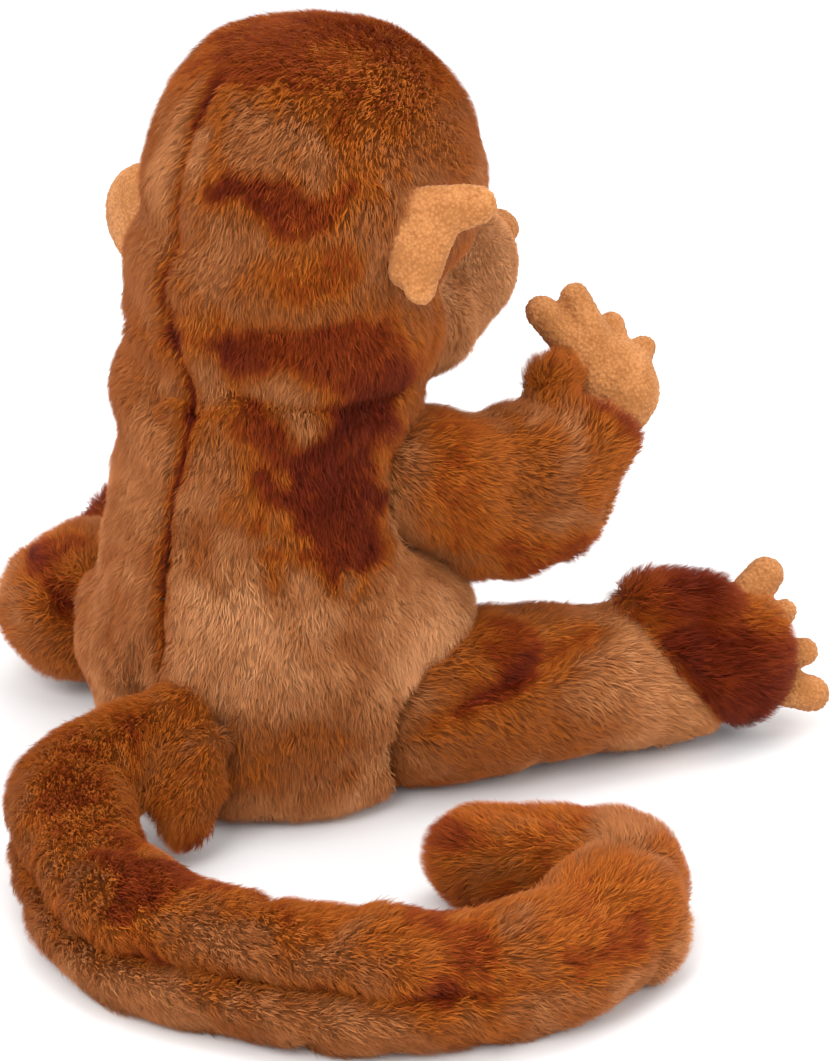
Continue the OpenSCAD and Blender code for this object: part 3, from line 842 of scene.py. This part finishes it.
def sew_trunk(skin):
    """The zigzag that closes the back, and the mouth."""
    lo, hi = (np.array(c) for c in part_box("back_seam_thread"))
    stitches = []
    for k, z in enumerate(np.arange(lo[2], hi[2], 0.0035)):
        across = 0.0016 * (-1) ** k
        share = (z - lo[2]) / (hi[2] - lo[2])
        at = np.array([across + SEAM_SHIFT[0], between(hi[1], lo[1], share), z])
        stitches.append(on_skin(skin, at, 0.0006) + [across * 0.5, 0, 0])
    sewn("back_seam_stitches", stitches, "torso", "back_seam_thread")
    lo, hi = (np.array(c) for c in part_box("mouth_thread"))
    jaw = centre("muzzle") * [1, 1, 0] + [0, 0, (lo[2] + hi[2]) / 2]
    mouth = []
    for angle in np.radians(np.arange(-24, 25, 4)):
        aim = math.cos(angle) * FORWARD + math.sin(angle) * RIGHT
        lift = 0.006 * (angle / 0.56) ** 2 - 0.006
        mouth.append(on_skin(skin, jaw + 0.05 * aim + lift * UP, 0.0034))
    sewn("mouth_stitch", mouth, "head", "mouth_thread", radius=0.0011)


def make_trunk():
    skin = trunk_skin()
    sew_trunk(skin)
    middle = skin["v"][skin["quads"]].mean(1)
    z = middle[:, 2]
    across = back_offset(middle)
    belly = (middle[:, 1] < -0.030) & (z <= TORSO_TOP)
    seat = (z < 0.012) & (np.hypot(middle[:, 0], middle[:, 1]) < 0.080)
    low, mid, high = TORSO_TOP - 0.022, TORSO_TOP + 0.004, TORSO_TOP + 0.034
    face = ((middle - HEAD) @ FORWARD > 0.036) & (z > high)
    torso, skull = z <= low, (z > high) & ~face
    fur_piece("seat_panel_fur", skin, torso & seat, COAT | {"density": 0.35}, "torso", ["seat_panel"])
    fur_piece("belly_panel_fur", skin, torso & belly & ~seat, COAT, "torso", ["belly_panel"])
    rest = torso & ~belly & ~seat
    right_nodes = ["back_right_panel", "torso_filling"]
    fur_piece("back_right_panel_fur", skin, rest & (across > 0), COAT, "torso", right_nodes)
    fur_piece("back_left_panel_fur", skin, rest & (across <= 0), COAT, "torso", ["back_left_panel"])
    lower = ("torso", "neck", (0, 0, low), (0, 0, mid))
    fur_piece("neck_lower_fur", skin, (z > low) & (z <= mid), COAT, lower, ["neck_collar"])
    upper = ("neck", "head", (0, 0, mid), (0, 0, high))
    fur_piece("neck_upper_fur", skin, (z > mid) & (z <= high), COAT, upper, ["head_filling"])
    fur_piece("head_back_right_fur", skin, skull & (across > 0), COAT, "head", ["head_back_right_panel"])
    fur_piece("head_back_left_fur", skin, skull & (across <= 0), COAT, "head", ["head_back_left_panel"])
    fur_piece("face_fur", skin, face, COAT | {"width": 0.8}, "head", ["face_panel", "muzzle"])


# ---------------------------------------------------------------- limbs

def limb_comb(points, fall):
    """Combs along a limb through its joints, and a little down."""
    points = [np.array(p) for p in points]

    def comb(p, n):
        total = np.zeros_like(p)
        for a, b in zip(points[:-1], points[1:]):
            gap = on_segment(p, a, b)[2]
            total += unit(b - a) * bump(gap, 0.02)[:, None]
        return unit(total) + fall * DOWN

    return comb


def wrinkle(skin, at, reach, depth, seed):
    """Cuts wandering wrinkles into a skin near a place where the limb bends."""
    v = skin["v"]
    near = bump(np.linalg.norm(v - at, axis=1), reach)
    cut = depth * near * creases(v, 0.034, 1.0, seed)
    refresh(skin, v - skin["n"] * cut[:, None])


def make_arm(side):
    shoulder, elbow, wrist = (JOINT[f"{side}_{j}"] for j in ("shoulder", "elbow", "wrist"))
    upper = [f"{side}_upper_arm_cover", f"{side}_upper_arm_filling"]
    fore = [f"{side}_forearm_cover", f"{side}_forearm_filling"]
    bend = between(shoulder, wrist, 0.5)
    along = unit(wrist - elbow)
    inward = unit((shoulder - wrist) - (shoulder - wrist) @ along * along)
    fills = [
        (between(elbow, bend, 0.12), 0.032),
        (between(elbow, bend, 0.52), 0.034),
        (between(shoulder, elbow, 0.42) - 0.015 * UP, 0.031),
        (between(shoulder, elbow, 0.74) - 0.010 * UP, 0.033),
        (wrist + 0.023 * inward - 0.006 * along, 0.016),
    ]
    skin = stuffed(f"{side}_arm", upper + fore, [blob(at, (r, r, r)) for at, r in fills], lumps=0.0030)
    wrinkle(skin, elbow, 0.050, 0.0035, SEED + 80)
    middle = skin["v"][skin["quads"]].mean(1)
    nearer = np.linalg.norm(middle - shoulder, axis=1) < np.linalg.norm(middle - wrist, axis=1)
    past_upper = beyond(middle, shoulder, elbow, 0.45)
    past_fore = beyond(middle, elbow, wrist, 0.62) & ~nearer
    reach = np.linalg.norm(wrist - elbow)

    def cuff(p):
        return smoothstep((p - elbow) @ along, reach * 0.35, reach * 0.95)

    out = unit(np.array([np.sign(shoulder[0]), 0.35, 0.25]))
    patches = [
        (between(shoulder, elbow, 0.05) + 0.034 * out, (0.016, 0.020, 0.030), 0.26),
        (between(shoulder, elbow, 0.45) + 0.024 * out + 0.034 * UP, (0.030, 0.022, 0.010), 0.28),
        (between(shoulder, elbow, 0.70) + 0.028 * out - 0.026 * UP, (0.024, 0.030, 0.012), 0.30),
        (between(elbow, bend, 0.30) + 0.032 * out, (0.022, 0.026, 0.026), 0.72),
        (between(elbow, wrist, 0.80) + 0.020 * out, (0.016, 0.022, 0.018), 0.22),
        (between(elbow, wrist, 0.25) + 0.034 * out, (0.012, 0.022, 0.026), 0.44),
        (elbow - 0.028 * UP, (0.030, 0.030, 0.014), 0.28),
        (between(shoulder, elbow, 0.32) + 0.036 * out + 0.006 * UP, (0.024, 0.026, 0.024), 0.45),
    ]
    coat = {
        "comb": limb_comb([shoulder, elbow, wrist], 0.45),
        "length": lambda p: PILE_LENGTH * (1 + 0.30 * cuff(p)),
        "lean": LEAN,
        "tone": lambda p: patched(p, mottled(p, 0.58, 0.12) - 0.20 * cuff(p), patches),
    }
    fur_piece(f"{side}_upper_arm_fur", skin, ~past_upper & nearer, coat, f"{side}_upper_arm", upper)
    start, stop = between(shoulder, elbow, 0.62), between(elbow, wrist, 0.5)
    joint = (f"{side}_upper_arm", f"{side}_forearm", start, stop)
    fur_piece(f"{side}_elbow_fur", skin, (past_upper | ~nearer) & ~past_fore, coat, joint, fore[:1])
    fur_piece(f"{side}_cuff_fur", skin, past_fore, coat | {"lean": 0.72}, f"{side}_forearm", fore[1:])


def make_leg(side):
    hip, knee, ankle = (JOINT[f"{side}_{j}"] for j in ("hip", "knee", "ankle"))
    toes = centre(f"{side}_toes_terry")
    parts = {p: [f"{side}_{p}_cover", f"{side}_{p}_filling"] for p in ("thigh", "shin", "foot")}
    along = unit((toes - ankle) * [1, 1, 0])
    up_foot = unit(along + 0.85 * UP)
    rim = ankle - 0.006 * along + 0.040 * UP
    cuff_fill = blob(rim, (0.018, 0.027, 0.014), along)
    far_fill = blob(ankle + 0.024 * along + 0.032 * UP, (0.020, 0.017, 0.017), along)
    skin = stuffed(f"{side}_leg", sum(parts.values(), []), [cuff_fill, far_fill], lumps=0.0030)
    out = np.array([np.sign(hip[0]), 0, 0])
    fold = [
        hip + 0.016 * out + [0, 0.039, 0],
        between(hip, knee, 0.35) + 0.018 * out + [0, 0.026, 0.014],
        between(hip, knee, 0.75) + 0.024 * out + [0, 0.018, 0.025],
        between(knee, ankle, 0.1) + 0.020 * out + 0.030 * UP,
    ]

    def fold_line(p):
        return bump(nearest_on(p, fold)[1], 0.0075)

    def cuff_line(p):
        return bump((p - ankle) @ up_foot - CUFF_EDGE, 0.0035)

    v = skin["v"]
    cut = 0.0075 * fold_line(v) + 0.0048 * cuff_line(v)
    refresh(skin, v - skin["n"] * cut[:, None])
    middle = skin["v"][skin["quads"]].mean(1)
    near_hip = np.linalg.norm(middle - hip, axis=1) < np.linalg.norm(middle - ankle, axis=1)
    past_thigh = beyond(middle, hip, knee, 0.45) | ~near_hip
    past_shin = beyond(middle, knee, ankle, 0.45) & ~near_hip
    past_ankle = beyond(middle, ankle, toes, 0.15) & ~near_hip

    def cuff(p):
        height = (p - ankle) @ up_foot + 0.002 * value_noise(p, 0.008, SEED + 90)
        return smoothstep(height, CUFF_EDGE - 0.003, CUFF_EDGE + 0.003)

    patches = [
        (between(hip, knee, 0.55) + 0.034 * UP, (0.030, 0.030, 0.016), 0.36),
        (between(hip, knee, 0.90) + 0.028 * UP, (0.020, 0.020, 0.016), 0.50),
        (between(hip, knee, 0.40) + 0.030 * out - 0.006 * UP, (0.020, 0.034, 0.014), 0.48),
        (between(knee, ankle, 0.60) + 0.020 * out, (0.034, 0.034, 0.034), 0.78),
        # painted shade: a dark patch in the fold between the thigh and the body
        (between(hip, knee, 0.75) + 0.015 * out + [0, 0.019, 0.034], (0.014, 0.012, 0.007), 0.27),
    ]

    def tone(p):
        # painted shade in the hip fold and along the groove at the cuff's edge
        shade = patched(p, mottled(p, 0.58, 0.14), patches) - 0.40 * fold_line(p) - 0.2 * cuff_line(p)
        # painted highlight: the dark foot cuff is lighter on its top, above the toes and at its rim
        top_highlight = bump(np.linalg.norm(p - toes + 0.014 * along - 0.030 * UP, axis=1), 0.026)
        top_highlight = top_highlight + 0.5 * bump(np.linalg.norm(p - rim + 0.012 * along, axis=1), 0.018)
        return shade + cuff(p) * (mottled(p, 0.09, 0.10) + 0.36 * top_highlight - shade)

    def length(p):
        return PILE_LENGTH * (1 + 0.25 * cuff(p) + 0.55 * bump(np.linalg.norm(p - rim, axis=1), 0.024))

    coat = {"comb": limb_comb([hip, knee, ankle, toes], 0.5), "length": length, "lean": LEAN, "tone": tone}
    fur_piece(f"{side}_thigh_fur", skin, ~past_thigh, coat, f"{side}_thigh", parts["thigh"])
    joint = (f"{side}_thigh", f"{side}_shin", between(hip, knee, 0.6), between(knee, ankle, 0.42))
    at_knee = past_thigh & ~past_shin & ~past_ankle
    fur_piece(f"{side}_knee_fur", skin, at_knee, coat, joint, parts["shin"][:1])
    joint = (f"{side}_shin", f"{side}_foot", between(knee, ankle, 0.55), between(ankle, toes, 0.12))
    fur_piece(f"{side}_ankle_fur", skin, past_shin & ~past_ankle, coat, joint, parts["shin"][1:])
    fur_piece(f"{side}_foot_fur", skin, past_ankle, coat | {"lean": 0.70}, f"{side}_foot", parts["foot"])


# ---------------------------------------------------------------- tail

def rounded(points, step):
    """Places along a smooth curve through points, each with how many points it has passed."""
    ends = [2 * points[0] - points[1]] + list(points) + [2 * points[-1] - points[-2]]
    for k in range(len(points) - 1):
        a, b, c, d = ends[k:k + 4]
        for t in np.arange(0, 1, step):
            curved = (-a + 3 * b - 3 * c + d) * t ** 3 + (2 * a - 5 * b + 4 * c - d) * t ** 2
            yield k + t, 0.5 * (curved + (c - a) * t + 2 * b)


TAIL_PATCHES = places([
    ((-6, 140, 78), (20, 24, 12), 0.34),
    ((-16, 178, 68), (14, 16, 10), 0.31),
    ((-62, 226, 58), (28, 13, 8), 0.24),
    ((-78, 196, 58), (20, 14, 12), 0.42),
    ((-135, 232, 44), (30, 18, 11), 0.62),
    ((-150, 194, 58), (24, 16, 12), 0.40),
    ((-214, 196, 52), (17, 16, 12), 0.28),
    ((-250, 134, 52), (20, 26, 14), 0.40),
    ((-238, 76, 54), (16, 20, 16), 0.66),
    ((-166, 104, 46), (20, 16, 14), 0.27),
])


TAIL_SIZES = ([0, 0.3, 0.6, 1, 2, 4, 5, 6], [0.58, 0.74, 0.96, 1.10, 1.12, 1.08, 1.02, 0.90])


def make_tail():
    bends = [JOINT["tail_lift"]] + [JOINT[f"tail_bend_{k}"] for k in range(1, 6)]
    end = centre("tail_6_cover") * 2 - bends[5]
    end = bends[5] + unit(end - bends[5]) * np.linalg.norm(end - bends[5]) * 0.82
    path = bends + [end]
    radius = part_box("tail_4_cover")[1].z / 2
    spots = []
    for passed, q in rounded(path, 0.08):
        q = q + [0, 0, -0.012 * smoothstep(passed, 0.9, 0.1)]
        size = radius * np.interp(passed, *TAIL_SIZES)
        spots.append(blob(np.maximum(q, [-9, -9, 0.92 * size]), (size, size, size)))
    for share, drop, size in ((0.10, -0.018, 0.012), (0.24, -0.026, 0.016), (0.38, -0.034, 0.017)):
        pleat = between(bends[0], bends[1], share) + [-0.025, 0.004, drop]
        spots.append(blob(pleat, (size * 0.8, size, size * 1.2)))
    skin = stuffed("tail", [], spots, rounds=12, lumps=0.0034)
    curl = np.mean(path[2:], axis=0)

    def outward(p):
        """How far outward of the tail's core each point lies, seen from the middle of the curl."""
        return ((p - nearest_on(p, path)[0]) * unit((p - curl) * [1, 1, 0])).sum(1)

    def outer_seam(p):
        """1 along the seam on the outer side of the curl, a little above the middle of its height."""
        side = smoothstep((p - curl) @ np.array([0.10, 0.80, 0]) / 0.10, 0.1, 0.5)
        height = radius + 0.002 + 0.004 * value_noise(p, 0.06, SEED + 95)
        near_skin = nearest_on(p, path)[1] > 0.4 * radius
        return bump(p[:, 2] - height, 0.0056) * (outward(p) > 0) * side * near_skin

    def below_seam(p):
        return smoothstep(outward(p), 0.0, 0.012) * smoothstep(p[:, 2], radius + 0.004, radius - 0.004)

    def tone(p):
        # painted shade in the groove of the outer seam
        return patched(p, mottled(p, 0.39, 0.15), TAIL_PATCHES) + 0.20 * below_seam(p) - 0.25 * outer_seam(p)

    v = skin["v"]
    cut = 0.0110 * outer_seam(v) - 0.0030 * below_seam(v) + 0.0030 * creases(v, 0.050, 1.0, SEED + 97)
    refresh(skin, v - skin["n"] * cut[:, None])
    along = nearest_on(skin["v"][skin["quads"]].mean(1), path)[2]
    coat = {
        "comb": limb_comb(path, 0.35),
        "length": lambda p: np.full(len(p), PILE_LENGTH),
        "lean": LEAN,
        "tone": tone,
    }
    fur_piece("tail_root_fur", skin, along < 0.5, coat, "tail_1", ["tail_1_cover", "tail_1_filling"])
    for k in range(1, 6):
        here = (along >= k - 0.5) & (along < k + 0.5)
        start, stop = between(path[k - 1], path[k], 0.55), between(path[k], path[k + 1], 0.45)
        joint = (f"tail_{k}", f"tail_{k + 1}", start, stop)
        fur_piece(f"tail_bend_{k}_fur", skin, here, coat, joint, [f"tail_{k + 1}_cover"])
    fur_piece("tail_tip_fur", skin, along >= 5.5, coat, "tail_6", [f"tail_{k}_filling" for k in range(2, 7)])


# ---------------------------------------------------------------- terry

def strip(start, end, first, last, flat=None, facing=(0, 1, 0)):
    """Blobs in a row that make a rounded finger. With flat, each is that thick in the facing direction."""
    rows = []
    for t in np.linspace(0, 1, 7):
        size = between(first, last, t)
        rows.append(blob(between(start, end, t), (size, flat or size, size), facing))
    return rows


# The plane in which the right hand and toes and the folded ear lie, seen from behind: across it and up it
ACROSS = unit(np.array([-0.866, -0.5, 0.0]))
RISE = unit(np.array([0.187, -0.324, 0.927]))
BACKWARD = np.cross(ACROSS, RISE)


def spot(origin, across, rise, back=0.0):
    """A place in millimetres from an origin in that plane."""
    return origin + 0.001 * (across * ACROSS + rise * RISE + back * BACKWARD)


def right_hand():
    at = JOINT["right_wrist"]
    palm = [
        blob(spot(at, 8, 5, -2), (0.023, 0.014, 0.021), BACKWARD),
        blob(spot(at, 17, -1, -2), (0.016, 0.013, 0.018), BACKWARD),
        blob(spot(at, 10, -9, -2), (0.019, 0.013, 0.016), BACKWARD),
        blob(spot(at, -5, 16, -1), (0.016, 0.011, 0.013), BACKWARD),
    ]
    return (
        palm + strip(spot(at, -9, 19), spot(at, -27, 39), 0.0092, 0.0084)
        + strip(spot(at, 1, 24), spot(at, -10, 46), 0.0086, 0.0077)
        + strip(spot(at, 10, 18, -6), spot(at, 9, 33, -8), 0.0085, 0.0068)
        + strip(spot(at, 18, 10, -6), spot(at, 25, 21, -8), 0.0085, 0.0066)
        + strip(spot(at, -2, 2, -14), spot(at, -8, 12, -22), 0.0085, 0.0072)
    )


def right_toes():
    at = centre("right_toes_terry")
    return (
        [blob(spot(at, -22, 2), (0.018, 0.019, 0.030), BACKWARD)]
        + strip(spot(at, -28, 20), spot(at, -14, 37), 0.0115, 0.0098)
        + strip(spot(at, -16, 6), spot(at, -4, 18), 0.0078, 0.0066)
        + strip(spot(at, -14, -6), spot(at, 6, -3), 0.0086, 0.0076)
        + strip(spot(at, -19, -18), spot(at, 10, -25), 0.0105, 0.0096)
    )


def left_toes():
    """Four toes fanned level, on a small pad."""
    at = centre("left_toes_terry")
    along = unit((at - JOINT["left_ankle"]) * [1, 1, 0])
    side = np.cross(UP, along)
    rows = [blob(at - 0.012 * along, (0.031, 0.020, 0.014), along)]
    for offset, reach, size in ((-27, 10, 0.0100), (-10, 17, 0.0080), (7, 18, 0.0076), (24, 16, 0.0086)):
        heel = at + 0.001 * offset * 0.80 * side - 0.006 * along
        rows += strip(heel, at + 0.001 * offset * side + 0.001 * reach * along, size, size * 0.92)
    return rows


def right_ear():
    """A flap folded forward: a lobe hangs behind, and the upper edge stands out level."""
    at = JOINT["right_ear_fold"]
    thick = 0.0052
    lobe = strip(spot(at, 14, -23, -2), spot(at, 20, 7, 0), 0.0072, 0.0122, flat=thick, facing=BACKWARD)
    top = strip(spot(at, 20, 13, 0), spot(at, 40, 16, 3), 0.0130, 0.0098, flat=thick, facing=BACKWARD)
    base = strip(spot(at, 7, -14, -4), spot(at, 9, 18, -4), 0.0080, 0.0090, flat=0.006, facing=BACKWARD)
    return lobe + top + base


def cupped(v):
    """Bends the round ear's rim forward."""
    at = centre("left_ear_back")
    reach = np.linalg.norm((v - at) * [1, 0, 1], axis=1) / 0.029
    front = smoothstep(v[:, 1] - at[1], -0.001, -0.004)
    hollow = 0.0050 * front * np.clip(1 - (reach / 0.8) ** 2, 0, 1)
    bent = v + np.array([0.0, 1.0, 0.0]) * (hollow - 0.013 * (reach ** 2 - 0.4))[:, None]
    return bent + np.array([0.007, 0.003, 0.0]) * reach[:, None] - 0.003 * UP


def lowered(v):
    """The nose sits a little low, with two shallow nostrils."""
    at = centre("nose")
    for side in (-1, 1):
        nostril = at + 0.0085 * FORWARD + 0.0045 * side * RIGHT - 0.0035 * UP
        v = v - 0.0022 * bump(np.linalg.norm(v - nostril, axis=1), 0.0024)[:, None] * FORWARD
    return at + (v - at) * [1.1, 1.1, 0.9] - 0.009 * UP - 0.002 * FORWARD


def terry_piece(name, nodes, body, voxel=TERRY_VOXEL, shape=None, blobs=None):
    """A stuffed terry piece: its CAD shape or blobs softened, with a loop of pile standing at every nub."""
    v, quads = remeshed(name, [] if blobs else nodes, blobs or [], voxel)
    v = smoothed(v, quads, 5, keep_size=False)
    v = smoothed(v, quads, 9)
    if shape:
        v = shape(v)
    v, quads = subdivided(v, quads)
    n = vertex_normals(v, quads)
    _, gap = nearest_seed(v, NUB, SEED + 70)
    nub = NUB_HEIGHT * (1 - (gap / (0.6 * NUB)) ** 2)
    pile = np.clip(nub, -NUB_HEIGHT, NUB_HEIGHT) + 0.0002 * value_noise(v, 0.004, SEED + 71)
    v = v + n * pile[:, None]
    obj = mesh_object(name, v, [quads], np.zeros((len(v), 2)), [TERRY])
    obj.data.uv_layers.remove(obj.data.uv_layers["OFBake"])
    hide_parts(*nodes)
    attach(obj, body)


def subdivided(v, quads):
    """Splits each quad in four, then evens the result out."""
    edges = edges_of(quads)
    code = edges[:, 0] * len(v) + edges[:, 1]
    edge_mid = v[edges].mean(1)
    face_mid = v[quads].mean(1)
    first_edge, first_face = len(v), len(v) + len(edges)
    order = []
    for k in range(4):
        pair = np.sort(quads[:, [k, (k + 1) % 4]], axis=1)
        order.append(first_edge + np.searchsorted(code, pair[:, 0] * len(v) + pair[:, 1]))
    hub = first_face + np.arange(len(quads))
    new = np.concatenate([np.stack([quads[:, k], order[k], hub, order[k - 1]], axis=1) for k in range(4)])
    points = np.concatenate([v, edge_mid, face_mid])
    return smoothed(points, new, 1, keep_size=False), new


# ---------------------------------------------------------------- room, light and camera

VIEW_AZIMUTH = 210
VIEW_ELEVATION = 22
VIEW_TARGET = Vector((-0.092, 0.010, 0.150))
VIEW_DISTANCE = 1.5
LENS = 106
LIGHT_TARGET = Vector((0, 0, 0.12))
FLOOR_HALF = 4.0


def aimed(name, data, place, way):
    """A camera or light at a place that looks a way."""
    obj = work_object(name, data)
    obj.location = place
    obj.rotation_mode = "QUATERNION"
    obj.rotation_quaternion = way.to_track_quat("-Z", "Y")
    return obj


def make_camera():
    a, e = math.radians(VIEW_AZIMUTH), math.radians(VIEW_ELEVATION)
    back = Vector((math.sin(a) * math.cos(e), -math.cos(a) * math.cos(e), math.sin(e)))
    data = bpy.data.cameras.new("camera")
    data.lens = LENS
    data.sensor_width = 36
    bpy.context.scene.camera = aimed("camera", data, VIEW_TARGET + VIEW_DISTANCE * back, -back)


def area_light(name, place, power, size):
    data = bpy.data.lights.new(name, "AREA")
    data.energy = power
    data.size = size
    aimed(name, data, place, LIGHT_TARGET - Vector(place))


def make_room():
    mesh = bpy.data.meshes.new("floor")
    h = FLOOR_HALF
    mesh.from_pydata([(-h, -h, 0), (h, -h, 0), (h, h, 0), (-h, h, 0)], [], [(0, 1, 2, 3)])
    floor = work_object("floor", mesh)
    material, _, surface = node_material("floor")
    set_inputs(surface, {"Base Color": (0.93, 0.93, 0.93, 1), "Roughness": 0.6, "Specular IOR Level": 0.1})
    mesh.materials.append(material)
    world = bpy.data.worlds.new("studio")
    world.use_nodes = True
    set_inputs(world.node_tree.nodes["Background"], {"Color": (1, 1, 1, 1), "Strength": 0.90})
    bpy.context.scene.world = world
    bpy.context.scene.view_settings.view_transform = "Standard"
    area_light("key", (-0.2, 1.5, 1.6), 17, 0.9)
    area_light("left", (1.5, 0.7, 0.9), 7, 1.0)
    area_light("front", (-0.8, -1.5, 1.2), 10, 1.0)
    area_light("right", (-1.7, 0.3, 1.0), 7, 0.9)
    area_light("top", (-0.1, 0, 1.8), 9, 1.2)


# ---------------------------------------------------------------- the whole toy

def keep_node(node, material):
    """A CAD node that shows as it is, in its own material."""
    data = frame["nodes"][node].data
    data.materials.clear()
    data.materials.append(material)


make_camera()
make_room()
make_trunk()
for side in ("right", "left"):
    make_arm(side)
    make_leg(side)
    mine = side == "right"
    terry_piece(f"{side}_hand", [f"{side}_hand_terry"], f"{side}_hand", blobs=right_hand() if mine else None)
    toes = right_toes() if mine else left_toes()
    terry_piece(f"{side}_toes", [f"{side}_toes_terry"], f"{side}_foot", blobs=toes)
    layers = [f"{side}_ear_back", f"{side}_ear_front"]
    folded, bent = (right_ear(), None) if mine else (None, cupped)
    terry_piece(f"{side}_ear", layers, f"{side}_ear", blobs=folded, shape=bent)
    keep_node(f"{side}_eye", EYE)
    keep_node(f"{side}_eye_washer", WASHER)
make_tail()
terry_piece("nose_terry", ["nose"], "head", voxel=0.001, shape=lowered)
keep_node("pellet_bag", BAG)
